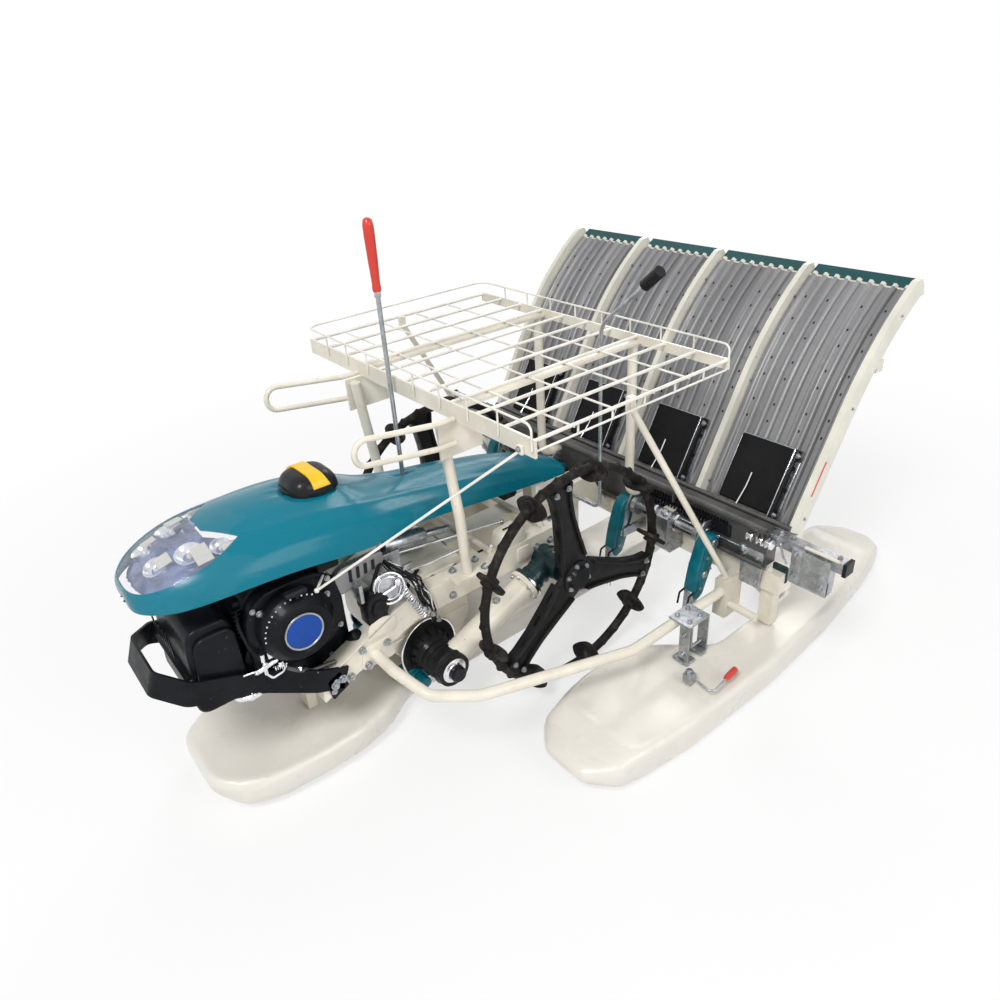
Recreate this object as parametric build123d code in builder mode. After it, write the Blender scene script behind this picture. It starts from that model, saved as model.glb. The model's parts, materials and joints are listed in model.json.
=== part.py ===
from build123d import *
import os
from math import cos, sin, radians, atan2, degrees, hypot

# Walk-behind rice transplanter, four rows. Millimetres.
# +X is the machine's left, -Y its front, +Z up; Z = 0 is the ground it stands on.
# The origin lies on the ground under the middle of its length and width.

os.makedirs("parts", exist_ok=True)

# ---------------------------------------------------------------- driving dimensions
ROW_PITCH = 300.0             # from one seedling row to the next
LANES = 4
SEAT_GAP = 0.3                # between a running piece and its seat
WELD = 1.0                    # how far a welded bar enters the piece it is welded to

AXLE_Y = -189.0               # wheel axle, from the middle of the machine's length
AXLE_Z = 322.0
WHEEL_X = 300.0               # centre plane of each wheel
RING_R = 300.0                # centreline of the wheel's ring
RING_W = 26.0
RING_T = 24.0
LUG_COUNT = 9
LUG_REACH = 54.0              # half the width over a lug's two points
LUG_R = 321.5
LUG_T = 11.0
SPOKE_COUNT = 3
SPOKE_T = 14.0
HUB_R = 46.0
AXLE_R = 17.5
AXLE_CLEARANCE = 0.1

FRAME_X = 150.0               # centre of each frame channel
FRAME_W = 40.0
FRAME_H = 70.0
FRAME_TOP_Z = 392.0
FRAME_FRONT_Y = AXLE_Y - 430
FRAME_REAR_Y = AXLE_Y + 60    # rear ends of the two channels
BED_FRONT_Y = AXLE_Y - 674    # front end of the engine bed's channels
BED_TOP_Z = 284.0
BED_H = 58.0

TUBE_D = 28.0                 # guard tubes
POST_D = 26.0                 # rack posts
POST_X = 187.0
RACK_HALF_W = 466.0
RACK_FRONT_Y = AXLE_Y - 256
RACK_REAR_Y = AXLE_Y + 345
RACK_Z = 855.0                # middle of the rack's long bars
BAR_D = 8.0
WIRE_D = 5.0
RACK_GAPS = 10                # spaces between the long bars
FENCE_H = 36.0

TRAY_SHIFT = 31.0             # the tray stands this far left of the middle
TRAY_FRONT_Y = AXLE_Y + 477
TRAY_LOW_Z = 390.0
TRAY_SLOPE = 60.0             # degrees, lower straight part
TRAY_STRAIGHT = 325.0
TRAY_ARC_R = 800.0
TRAY_ARC = 26.0               # degrees the tray flattens towards its top
RIM_W = 16.0
RIM_H = 52.0
PANEL_T = 3.0
RIB_H = 9.0
RIB_W = 9.0
RIBS_PER_LANE = 9

FLOAT_DECK_Z = 100.0


def yz(x):
    """The plane at x whose own x runs along +Y and whose own y runs up."""
    return Plane.YZ.offset(x)


def bar_between(start, end, diameter):
    """A straight round bar from start to end, in the open part."""
    a, b = Vector(*start), Vector(*end)
    with BuildSketch(Plane(origin=a, z_dir=b - a)) as section:
        Circle(diameter / 2)
    extrude(section.sketch, amount=(b - a).length)


def bent_tube(points, radii, diameter):
    """A round tube along straight runs joined by arcs, in the open part."""
    with BuildLine() as path:
        FilletPolyline(*points, radius=radii)
    with BuildSketch(Plane(origin=path.line @ 0, z_dir=path.line % 0)) as section:
        Circle(diameter / 2)
    sweep(section.sketch, path=path.line)


def block(x_span, y_span, z_span):
    """A rectangular block between the given limits, in the open part."""
    centre = ((x_span[0] + x_span[1]) / 2, (y_span[0] + y_span[1]) / 2)
    with BuildSketch(Plane.XY.offset(z_span[0])) as section:
        with Locations(centre):
            Rectangle(x_span[1] - x_span[0], y_span[1] - y_span[0])
    extrude(section.sketch, amount=z_span[1] - z_span[0])


def disc(x_span, y, z, radius, mode=Mode.ADD):
    """A round boss or bore along X between the given limits, in the open part."""
    with BuildSketch(yz(x_span[0])) as section:
        with Locations((y, z)):
            Circle(radius)
    extrude(section.sketch, amount=x_span[1] - x_span[0], mode=mode)


def side_plate(x_span, outline, mode=Mode.ADD):
    """A plate between two X planes, cut to an outline of (y, z) points, in the open part."""
    with BuildSketch(yz(x_span[0])) as section:
        with BuildLine():
            Polyline(*outline, close=True)
        make_face()
    extrude(section.sketch, amount=x_span[1] - x_span[0], mode=mode)


def mirrored(side, low, high):
    """The X span low..high on the left side, or its mirror image on the right."""
    return (low, high) if side > 0 else (-high, -low)


SIDES = (("left", 1), ("right", -1))

# ---------------------------------------------------------------- wheels
SPOKE_ROOT_W = 82.0
SPOKE_END_W = 34.0
HUB_INNER = 34.0              # hub face towards the machine, from the wheel's plane
HUB_OUTER = 24.0
AXLE_IN = 66.0                # how far the axle runs inwards from the wheel's plane
FIRST_LUG = 37.0
FIRST_SPOKE = 100.0

for name, side in SIDES:
    wheel_plane = yz(side * WHEEL_X)
    hub_point = (AXLE_Y, AXLE_Z)

    with BuildPart() as wheel_ring:
        with BuildSketch(wheel_plane.offset(-RING_W / 2)):
            with Locations(hub_point):
                Circle(RING_R + RING_T / 2)
                Circle(RING_R - RING_T / 2, mode=Mode.SUBTRACT)
        extrude(amount=RING_W)
        for k in range(LUG_COUNT):
            turn = FIRST_LUG + k * 360 / LUG_COUNT
            outward = Vector(0, cos(radians(turn)), sin(radians(turn)))
            along = Vector(0, -sin(radians(turn)), cos(radians(turn)))
            centre = Vector(side * WHEEL_X, AXLE_Y, AXLE_Z) + outward * RING_R
            lug_plane = Plane(origin=centre - along * (LUG_T / 2), x_dir=(1, 0, 0), z_dir=along)
            rise = LUG_R - RING_R
            with BuildSketch(lug_plane):
                with BuildLine():
                    Polyline((-LUG_REACH, 0), (-RING_W, rise), (RING_W, rise), (LUG_REACH, 0),
                             (RING_W, -rise), (-RING_W, -rise), close=True)
                make_face()
            extrude(amount=LUG_T)
    wheel_ring.part.label = f"{name}_wheel_ring"
    export_step(wheel_ring.part, f"parts/{name}_wheel_ring.step")

    with BuildPart() as wheel_spider:
        inner = RING_R - RING_T / 2
        waist = inner * 0.55
        for k in range(SPOKE_COUNT):
            turn = FIRST_SPOKE + k * 360 / SPOKE_COUNT
            spoke_plane = Plane(
                origin=(side * WHEEL_X - SPOKE_T / 2, AXLE_Y, AXLE_Z),
                x_dir=(0, cos(radians(turn)), sin(radians(turn))),
                z_dir=(1, 0, 0),
            )
            with BuildSketch(spoke_plane):
                with BuildLine():
                    Polyline((0, -SPOKE_ROOT_W / 2), (HUB_R, -SPOKE_ROOT_W / 2),
                             (waist, -SPOKE_END_W / 2), (inner + 20, -SPOKE_END_W / 2),
                             (inner + 20, SPOKE_END_W / 2), (waist, SPOKE_END_W / 2),
                             (HUB_R, SPOKE_ROOT_W / 2), (0, SPOKE_ROOT_W / 2), close=True)
                make_face()
            extrude(amount=SPOKE_T)
        with BuildSketch(wheel_plane.offset(-SPOKE_T / 2)):
            with Locations(hub_point):
                Circle(inner)
        extrude(amount=SPOKE_T, mode=Mode.INTERSECT)
        hub_low, hub_high = (-HUB_INNER, HUB_OUTER) if side > 0 else (-HUB_OUTER, HUB_INNER)
        with BuildSketch(wheel_plane.offset(hub_low)):
            with Locations(hub_point):
                Circle(HUB_R)
        extrude(amount=hub_high - hub_low)
        axle_low = -AXLE_IN if side > 0 else 0
        with BuildSketch(wheel_plane.offset(axle_low)):
            with Locations(hub_point):
                Circle(AXLE_R)
        extrude(amount=AXLE_IN)
    wheel_spider.part.label = f"{name}_wheel_spider"
    export_step(wheel_spider.part, f"parts/{name}_wheel_spider.step")

# ---------------------------------------------------------------- wheel legs
LEG_D = 66.0
LEG_X = FRAME_X + FRAME_W / 2 + LEG_D / 2 + 2   # centre plane of each leg, just outside the frame
PIVOT_Y = AXLE_Y - 365
PIVOT_Z = 178.0
LEG_FLANGE_Y = AXLE_Y - 85    # where the tube meets the axle housing
LEG_FLANGE_D = 90.0
LEG_FLANGE_T = 12.0
BOSS_R = 36.0
BOSS_FACE_X = WHEEL_X - HUB_INNER - 6.0
PIVOT_R = 40.0
PIVOT_FACE_X = LEG_X - 37     # inner face of the leg's pivot eye
PIVOT_OUT_X = LEG_X + 31

leg_share = (LEG_FLANGE_Y - PIVOT_Y) / (AXLE_Y - PIVOT_Y)
LEG_FLANGE_Z = PIVOT_Z + leg_share * (AXLE_Z - PIVOT_Z)

leg_run = Vector(0, AXLE_Y - PIVOT_Y, AXLE_Z - PIVOT_Z).normalized()

with BuildPart() as swing_cases:
    for name, side in SIDES:
        flange = Vector(side * LEG_X, LEG_FLANGE_Y, LEG_FLANGE_Z)
        bar_between((side * LEG_X, PIVOT_Y, PIVOT_Z), flange, LEG_D)
        with BuildSketch(Plane(origin=flange - leg_run * LEG_FLANGE_T, z_dir=leg_run)) as section:
            Circle(LEG_FLANGE_D / 2)
        extrude(section.sketch, amount=LEG_FLANGE_T)
        disc(mirrored(side, PIVOT_FACE_X, PIVOT_OUT_X), PIVOT_Y, PIVOT_Z, PIVOT_R)
swing_cases.part.label = "swing_cases"
export_step(swing_cases.part, "parts/swing_cases.step")

with BuildPart() as axle_housings:
    for name, side in SIDES:
        flange = Vector(side * LEG_X, LEG_FLANGE_Y, LEG_FLANGE_Z)
        with BuildSketch(Plane(origin=flange, z_dir=leg_run)) as section:
            Circle(LEG_FLANGE_D / 2)
        extrude(section.sketch, amount=LEG_FLANGE_T)
        bar_between(flange, (side * LEG_X, AXLE_Y, AXLE_Z), LEG_D)
        disc(mirrored(side, LEG_X - LEG_D / 2, BOSS_FACE_X), AXLE_Y, AXLE_Z, BOSS_R)
        bore_span = mirrored(side, WHEEL_X - AXLE_IN - SEAT_GAP, WHEEL_X)
        disc(bore_span, AXLE_Y, AXLE_Z, AXLE_R + AXLE_CLEARANCE, Mode.SUBTRACT)
axle_housings.part.label = "axle_housings"
export_step(axle_housings.part, "parts/axle_housings.step")

# ---------------------------------------------------------------- transmission
CASE_HALF_W = 118.0
CASE_FRONT_Y = AXLE_Y - 470
CASE_REAR_Y = AXLE_Y - 210
CASE_LOW_Z = 125.0
CASE_TOP_Z = 400.0
DRUM_R = 64.0
DRUM_NOSE_R = 30.0

with BuildPart() as transmission_case:
    side_plate((-CASE_HALF_W, CASE_HALF_W),
               ((CASE_FRONT_Y, 220), (CASE_FRONT_Y + 70, CASE_LOW_Z), (CASE_REAR_Y - 60, CASE_LOW_Z),
                (CASE_REAR_Y, 200), (CASE_REAR_Y, CASE_TOP_Z), (CASE_FRONT_Y + 60, CASE_TOP_Z),
                (CASE_FRONT_Y, 330)))
    for name, side in SIDES:
        drum_plane = Plane(origin=(side * CASE_HALF_W, PIVOT_Y, PIVOT_Z), z_dir=(side, 0, 0))
        with BuildSketch(drum_plane) as drum_root:
            Circle(DRUM_R)
        with BuildSketch(drum_plane.offset(PIVOT_FACE_X - CASE_HALF_W)) as drum_nose:
            Circle(DRUM_NOSE_R + 14)
        loft([drum_root.sketch, drum_nose.sketch])
transmission_case.part.label = "transmission_case"
export_step(transmission_case.part, "parts/transmission_case.step")

# ---------------------------------------------------------------- main frame
CROSS_D = 40.0
SPINE_HALF_W = 34.0
BEAM_Y = (AXLE_Y + 420, AXLE_Y + 480)       # planting beam
BEAM_Z = (220.0, 280.0)

STAND_Y = (AXLE_Y + 104, AXLE_Y + 120)      # upright that carries the bonnet's tail
BONNET_TAIL_Z = 462.0
STAND_TOP_Z = BONNET_TAIL_Z - SEAT_GAP

frame_low_z = FRAME_TOP_Z - FRAME_H
with BuildPart() as main_frame:
    for name, side in SIDES:
        side_plate(mirrored(side, FRAME_X - FRAME_W / 2, FRAME_X + FRAME_W / 2),
                   ((BED_FRONT_Y, BED_TOP_Z - BED_H), (BED_FRONT_Y, BED_TOP_Z),
                    (FRAME_FRONT_Y, FRAME_TOP_Z), (FRAME_REAR_Y, FRAME_TOP_Z),
                    (FRAME_REAR_Y, frame_low_z), (FRAME_FRONT_Y + 20, frame_low_z)))
    inner_x = FRAME_X - FRAME_W / 2
    for cross_y in (CASE_REAR_Y + 20, FRAME_REAR_Y - CROSS_D):
        block((-inner_x - WELD, inner_x + WELD), (cross_y, cross_y + CROSS_D),
              (frame_low_z, frame_low_z + CROSS_D))
    block((-inner_x - WELD, inner_x + WELD), (BED_FRONT_Y, BED_FRONT_Y + 30),
          (BED_TOP_Z - 40, BED_TOP_Z))
    side_plate((-SPINE_HALF_W, SPINE_HALF_W),
               ((CASE_REAR_Y, frame_low_z), (CASE_REAR_Y, FRAME_TOP_Z), (BEAM_Y[0] - 90, FRAME_TOP_Z),
                (BEAM_Y[0] - 25, BEAM_Z[1]), (BEAM_Y[0], BEAM_Z[1]), (BEAM_Y[0], BEAM_Z[0]), (BEAM_Y[0] - 110, frame_low_z)))
    block((-20, 20), STAND_Y, (FRAME_TOP_Z, STAND_TOP_Z))
main_frame.part.label = "main_frame"
export_step(main_frame.part, "parts/main_frame.step")

# ---------------------------------------------------------------- engine and its guard
ENGINE_HALF_W = FRAME_X - FRAME_W / 2 - 2
ENGINE_FRONT_Y = AXLE_Y - 812
ENGINE_REAR_Y = AXLE_Y - 560
ENGINE_LOW_Z = BED_TOP_Z
ENGINE_TOP_Z = 545.0
TANK_HALF_W = 92.0
TANK_Y = (AXLE_Y - 780, AXLE_Y - 600)
BONNET_SEAT_Z = 582.0         # the bonnet's lower edge over the rear of the tank
MUFFLER_X = (-104.0, 128.0)
MUFFLER_Y = (AXLE_Y - 930, ENGINE_FRONT_Y)
MUFFLER_Z = (312.0, 540.0)
STARTER_R = 87.0
STARTER_T = 62.0
STARTER_Y = AXLE_Y - 690
STARTER_Z = 460.0
BADGE_R = 45.0
BADGE_T = 1.5

with BuildPart() as engine_block:
    block((-ENGINE_HALF_W, ENGINE_HALF_W), (ENGINE_FRONT_Y, ENGINE_REAR_Y), (ENGINE_LOW_Z, ENGINE_TOP_Z))
    fillet(engine_block.edges().filter_by(Axis.Z), 20)
    block((-TANK_HALF_W, TANK_HALF_W), TANK_Y, (ENGINE_TOP_Z, BONNET_SEAT_Z - SEAT_GAP))
engine_block.part.label = "engine_block"
export_step(engine_block.part, "parts/engine_block.step")

with BuildPart() as muffler:
    block(MUFFLER_X, MUFFLER_Y, MUFFLER_Z)
    fillet(muffler.faces().sort_by(Axis.Y)[0].edges(), 26)
muffler.part.label = "muffler"
export_step(muffler.part, "parts/muffler.step")

with BuildPart() as recoil_starter:
    disc((ENGINE_HALF_W, ENGINE_HALF_W + STARTER_T), STARTER_Y, STARTER_Z, STARTER_R)
    fillet(recoil_starter.faces().sort_by(Axis.X)[-1].edges(), 16)
recoil_starter.part.label = "recoil_starter"
export_step(recoil_starter.part, "parts/recoil_starter.step")

with BuildPart() as starter_badge:
    badge_x = ENGINE_HALF_W + STARTER_T
    disc((badge_x, badge_x + BADGE_T), STARTER_Y, STARTER_Z, BADGE_R)
starter_badge.part.label = "starter_badge"
export_step(starter_badge.part, "parts/starter_badge.step")

BUMPER_HALF_W = 136.0
BUMPER_H = 58.0
BUMPER_T = 6.0
BUMPER_FRONT_Y = AXLE_Y - 993.5
BUMPER_FRONT_Z = 424.0        # middle of the strip at its front
BUMPER_REAR_Y = BED_FRONT_Y + 60
BUMPER_REAR_Z = BED_TOP_Z - 12
BUMPER_LAP = 66.0             # how far each end lies along its frame channel
rear_x = FRAME_X + FRAME_W / 2 + BUMPER_T / 2
bumper_rise = degrees(atan2(BUMPER_FRONT_Z - BUMPER_REAR_Z, BUMPER_REAR_Y - BUMPER_FRONT_Y))
bumper_run = hypot(BUMPER_FRONT_Z - BUMPER_REAR_Z, BUMPER_REAR_Y - BUMPER_FRONT_Y)

with BuildPart() as front_bumper:
    slope_plane = Plane(
        origin=(0, BUMPER_REAR_Y, BUMPER_REAR_Z),
        x_dir=(1, 0, 0),
        z_dir=(0, sin(radians(bumper_rise)), cos(radians(bumper_rise))),
    )
    with BuildSketch(slope_plane.offset(-BUMPER_H / 2)):
        with BuildLine() as strip:
            FilletPolyline((rear_x, 0), (rear_x, -BUMPER_LAP),
                           (BUMPER_HALF_W, -BUMPER_LAP - 110),
                           (BUMPER_HALF_W, -bumper_run + 60),
                           (BUMPER_HALF_W - 60, -bumper_run + BUMPER_T / 2),
                           (60 - BUMPER_HALF_W, -bumper_run + BUMPER_T / 2),
                           (-BUMPER_HALF_W, -bumper_run + 60),
                           (-BUMPER_HALF_W, -BUMPER_LAP - 110),
                           (-rear_x, -BUMPER_LAP), (-rear_x, 0), radius=30)
        trace(strip.line, BUMPER_T)
    extrude(amount=BUMPER_H)
front_bumper.part.label = "front_bumper"
export_step(front_bumper.part, "parts/front_bumper.step")

# ---------------------------------------------------------------- bonnet
# Each row of a bonnet table is one cross-section: its place along Y from the axle,
# half its width at the lower edge, its lower edge's Z and its crown's Z.
BONNET_FRONT = (
    (-978, 72, 580, 630),
    (-930, 126, 586, 670),
    (-800, 170, 596, 701),
    (-600, 178, BONNET_SEAT_Z, 702),
    (-400, 150, 560, 640),
)
BONNET_REAR = (
    (-399.7, 150, 560, 639.5),
    (-220, 118, 528, 606),
    (-40, 92, 492, 581),
    (120, 68, BONNET_TAIL_Z, 530),
    (225, 46, 440, 476),
)
SHOULDER = 0.74               # the shoulder's half width over the lower edge's


def bonnet_section(y, half_w, low_z, top_z):
    """A closed hood section across the machine, with a crowned top and bulged sides."""
    shoulder_z = low_z + 0.72 * (top_z - low_z)
    with BuildSketch(Plane.XZ.offset(-(AXLE_Y + y))) as section:
        with BuildLine():
            Line((-half_w, low_z), (half_w, low_z))
            ThreePointArc((half_w, low_z), (half_w * 0.93, (low_z + shoulder_z) / 2 + 4),
                          (half_w * SHOULDER, shoulder_z))
            ThreePointArc((half_w * SHOULDER, shoulder_z), (0, top_z), (-half_w * SHOULDER, shoulder_z))
            ThreePointArc((-half_w * SHOULDER, shoulder_z),
                          (-half_w * 0.93, (low_z + shoulder_z) / 2 + 4), (-half_w, low_z))
        make_face()
    return section.sketch


SHIFT_X = -26.0               # the shift lever stands on the transmission case
SHIFT_Y = AXLE_Y - 280
SHIFT_D = 11.0
SHIFT_HOLE_GAP = 5.0          # around it, where it passes through the bonnet

CAP_Y = AXLE_Y - 540
CAP_R = 64.0
CAP_SEAT_Z = 687.0
CAP_H = 40.0
LENS_FRONT = (AXLE_Y - 1000, 622.0)       # lower edge of the lamp lens at the nose
LENS_REAR = (AXLE_Y - 745, 688.0)         # and at its rear corners
TONGUE_TIP_Y = AXLE_Y - 805               # the hood's tongue between the two lamps
TONGUE_TIP_W = 60.0
TONGUE_REAR_W = 196.0

with BuildPart() as lens_space:
    side_plate((-160, 160), (LENS_FRONT, LENS_REAR, (LENS_REAR[0], 780), (LENS_FRONT[0], 780)))
    with BuildSketch(Plane.XY.offset(500)) as tongue:
        with BuildLine():
            Polyline((-TONGUE_TIP_W / 2, TONGUE_TIP_Y), (TONGUE_TIP_W / 2, TONGUE_TIP_Y),
                     (TONGUE_REAR_W / 2, LENS_REAR[0] + 1), (-TONGUE_REAR_W / 2, LENS_REAR[0] + 1),
                     close=True)
        make_face()
    extrude(tongue.sketch, amount=300, mode=Mode.SUBTRACT)

with BuildPart() as bonnet_front:
    loft([bonnet_section(*row) for row in BONNET_FRONT])
    with BuildSketch(Plane.XY.offset(CAP_SEAT_Z - 60)):
        with Locations((0, CAP_Y)):
            Circle(CAP_R + 8)
    extrude(amount=60)
    with BuildSketch(Plane.XY.offset(CAP_SEAT_Z)):
        with Locations((0, CAP_Y)):
            Circle(CAP_R + 2)
    extrude(amount=60, mode=Mode.SUBTRACT)
    add(lens_space.part, mode=Mode.SUBTRACT)
bonnet_front.part.label = "bonnet_front"
export_step(bonnet_front.part, "parts/bonnet_front.step")

with BuildPart() as headlamp_lens:
    loft([bonnet_section(*row) for row in BONNET_FRONT])
    add(lens_space.part, mode=Mode.INTERSECT)
headlamp_lens.part.label = "headlamp_lens"
export_step(headlamp_lens.part, "parts/headlamp_lens.step")

with BuildPart() as bonnet_rear:
    loft([bonnet_section(*row) for row in BONNET_REAR])
    with BuildSketch(Plane.XY.offset(CASE_TOP_Z)) as lever_hole:
        with Locations((SHIFT_X, SHIFT_Y)):
            Circle(SHIFT_D / 2 + SHIFT_HOLE_GAP)
    extrude(lever_hole.sketch, amount=400, mode=Mode.SUBTRACT)
bonnet_rear.part.label = "bonnet_rear"
export_step(bonnet_rear.part, "parts/bonnet_rear.step")

with BuildPart() as tank_cap:
    with BuildSketch(Plane.XY.offset(CAP_SEAT_Z)):
        with Locations((0, CAP_Y)):
            Circle(CAP_R)
    extrude(amount=CAP_H)
    fillet(tank_cap.faces().sort_by(Axis.Z)[-1].edges(), 22)
tank_cap.part.label = "tank_cap"
export_step(tank_cap.part, "parts/tank_cap.step")

with BuildPart() as cap_grip:
    block((-46, 46), (CAP_Y - 17, CAP_Y + 17), (CAP_SEAT_Z + CAP_H, CAP_SEAT_Z + CAP_H + 8))
cap_grip.part.label = "cap_grip"
export_step(cap_grip.part, "parts/cap_grip.step")

# ---------------------------------------------------------------- floats
CENTER_HALF_W = 184.0
CENTER_TAIL_HALF_W = 104.0
# Outline of the left float: X from the machine's middle, Y from the axle.
SIDE_FLOAT = (
    (405, -90), (436, -240), (500, -296), (620, -296), (682, -230), (708, 0), (712, 320),
    (690, 640), (652, 900), (616, 1050), (560, 1100), (470, 1090), (410, 1010),
    (405, 660), (556, 610), (562, 280), (405, 110),
)
# Left half of the centre float's outline, from its nose to its tail; X, then Y from the axle.
CENTER_HALF = (
    (86, -955), (146, -904), (176, -820), (CENTER_HALF_W, -700), (CENTER_HALF_W - 2, -600), (160, -510),
    (CENTER_TAIL_HALF_W, -420), (CENTER_TAIL_HALF_W, 640),
)
CENTER_FLOAT = CENTER_HALF + tuple((-x, y) for x, y in reversed(CENTER_HALF))


def float_body(outline, mirror_x, profile, corner, chine):
    """A float: its plan outline with a chamfered sole, its nose and tail cut to a (y, z) profile."""
    xs = [mirror_x * x for x, y in outline]
    with BuildSketch() as plan:
        with BuildLine():
            Polyline(*[(mirror_x * x, AXLE_Y + y) for x, y in outline], close=True)
        make_face()
        fillet(plan.vertices(), corner)
    hull = extrude(plan.sketch, amount=200)
    chamfer(hull.faces().sort_by(Axis.Z)[0].edges(), chine)
    side_plate((min(xs) - 5, max(xs) + 5), [(AXLE_Y + y, z) for y, z in profile], Mode.INTERSECT)


SIDE_PROFILE = ((-300, 42), (-150, 0), (1010, 0), (1104, 30), (1104, 70), (980, FLOAT_DECK_Z),
                (-170, FLOAT_DECK_Z), (-300, 78))
CENTER_PROFILE = ((-960, 62), (-900, 24), (-790, 0), (600, 0), (644, 24), (644, 80), (600, FLOAT_DECK_Z),
                  (-800, FLOAT_DECK_Z), (-900, 112), (-960, 118))

for name, side in SIDES:
    with BuildPart() as side_float:
        float_body(SIDE_FLOAT, side, SIDE_PROFILE, 26, 10)
    side_float.part.label = f"{name}_float"
    export_step(side_float.part, f"parts/{name}_float.step")

with BuildPart() as center_float:
    float_body(CENTER_FLOAT, 1, CENTER_PROFILE, 34, 32)
center_float.part.label = "center_float"
export_step(center_float.part, "parts/center_float.step")

# ---------------------------------------------------------------- guard tubes and float hangers
GUARD_X = 1.5 * ROW_PITCH + 60  # centre of the guard's straight rear run, outside the outer row
GUARD_Z = 200.0
BRACKET_Y = (AXLE_Y + 352, BEAM_Y[0])
BRACKET_TOP_Z = 236.0
STUB_Z = 158.0
STRUT_D = 16.0
STRUT_Y = AXLE_Y + 29
HANGER_X = (GUARD_X - 12, GUARD_X + 56)
HANGER_Y = (AXLE_Y + 150, AXLE_Y + 232)
PLATE_T = 5.0

with BuildPart() as guard_tubes:
    for name, side in SIDES:
        frame_face = side * (FRAME_X + FRAME_W / 2)
        guard_path = (
            (frame_face, AXLE_Y - 530, 290), (side * 250, AXLE_Y - 530, 290),
            (side * 350, AXLE_Y - 500, 262), (side * 415, AXLE_Y - 407, 248),
            (side * GUARD_X, AXLE_Y, GUARD_Z), (side * GUARD_X, BRACKET_Y[0], GUARD_Z),
        )
        bent_tube(guard_path, (45, 50, 110, 110), TUBE_D)
        block(mirrored(side, GUARD_X - 20, GUARD_X + 20), BRACKET_Y, (STUB_Z - 40, BRACKET_TOP_Z))
        disc(mirrored(side, GUARD_X + 20, GUARD_X + 104), BRACKET_Y[0] + 20, STUB_Z, 11)
guard_tubes.part.label = "guard_tubes"
export_step(guard_tubes.part, "parts/guard_tubes.step")

with BuildPart() as rack_struts:
    for name, side in SIDES:
        lug_x = RACK_HALF_W - BAR_D / 2 - SEAT_GAP
        bar_between((side * (lug_x - 8), STRUT_Y, RACK_Z - 20),
                    (side * GUARD_X, BRACKET_Y[0] + 18, BRACKET_TOP_Z + 7), STRUT_D)
        block(mirrored(side, lug_x - 14, lug_x), (STRUT_Y - 9, STRUT_Y + 9), (RACK_Z - 32, RACK_Z + 3))
        block(mirrored(side, GUARD_X - 10, GUARD_X + 10), (BRACKET_Y[0], BRACKET_Y[0] + 36),
              (BRACKET_TOP_Z, BRACKET_TOP_Z + 10))
rack_struts.part.label = "rack_struts"
export_step(rack_struts.part, "parts/rack_struts.step")

with BuildPart() as float_hangers:
    for name, side in SIDES:
        top_z = GUARD_Z + TUBE_D / 2
        block(mirrored(side, *HANGER_X), HANGER_Y, (top_z, top_z + PLATE_T))
        for leg_y in (HANGER_Y[0], HANGER_Y[1] - PLATE_T):
            leg_span = mirrored(side, HANGER_X[1] - 30, HANGER_X[1])
            block(leg_span, (leg_y, leg_y + PLATE_T), (FLOAT_DECK_Z, top_z))
float_hangers.part.label = "float_hangers"
export_step(float_hangers.part, "parts/float_hangers.step")

# ---------------------------------------------------------------- rack
CHANNEL_H = 40.0
CHANNEL_T = 6.0
RAIL_STRIP_W = 34.0
RAIL_DROP = 24.0              # the near side's second rail below the long bars
WIRE_PLACES = (-150, -30, 90, 210)        # cross wires, from the axle
rack_pitch = 2 * RACK_HALF_W / RACK_GAPS
wire_z = RACK_Z - BAR_D / 2 - WIRE_D / 2 + WELD

with BuildPart() as rack_grid:
    for k in range(RACK_GAPS + 1):
        bar_x = -RACK_HALF_W + k * rack_pitch
        bar_between((bar_x, RACK_FRONT_Y, RACK_Z), (bar_x, RACK_REAR_Y, RACK_Z), BAR_D)
    for wire_y in WIRE_PLACES:
        bar_between((-RACK_HALF_W, AXLE_Y + wire_y, wire_z), (RACK_HALF_W, AXLE_Y + wire_y, wire_z), WIRE_D)
    rail_z = RACK_Z - RAIL_DROP
    bar_between((RACK_HALF_W, RACK_FRONT_Y, rail_z), (RACK_HALF_W, RACK_REAR_Y, rail_z), WIRE_D)
    for k in range(1, 6):
        hook_y = RACK_FRONT_Y + k * (RACK_REAR_Y - RACK_FRONT_Y) / 6 + 16
        bar_between((RACK_HALF_W, hook_y, rail_z), (RACK_HALF_W, hook_y, RACK_Z), WIRE_D)
rack_grid.part.label = "rack_grid"
export_step(rack_grid.part, "parts/rack_grid.step")

with BuildPart() as rack_channels:
    rack_low = RACK_Z - CHANNEL_H + BAR_D / 2
    block((-RACK_HALF_W - 6, RACK_HALF_W + 6), (RACK_FRONT_Y - CHANNEL_T, RACK_FRONT_Y),
          (rack_low, RACK_Z + BAR_D / 2))
    block((-RACK_HALF_W - 6, RACK_HALF_W + 6), (RACK_REAR_Y, RACK_REAR_Y + CHANNEL_T),
          (RACK_Z - 22, RACK_Z + BAR_D / 2))
    strip_top = wire_z - WIRE_D / 2
    for strip_x in (-POST_X, POST_X):
        block((strip_x - RAIL_STRIP_W / 2, strip_x + RAIL_STRIP_W / 2),
              (RACK_FRONT_Y - WELD, RACK_REAR_Y + WELD), (strip_top - 8, strip_top))
rack_channels.part.label = "rack_channels"
export_step(rack_channels.part, "parts/rack_channels.step")

FENCE_Y = (RACK_FRONT_Y - CHANNEL_T - WIRE_D / 2, RACK_REAR_Y + CHANNEL_T + WIRE_D / 2)
fence_x = RACK_HALF_W + 6 + WIRE_D / 2
fence_z = RACK_Z + FENCE_H
FENCE_POSTS = 9

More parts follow.
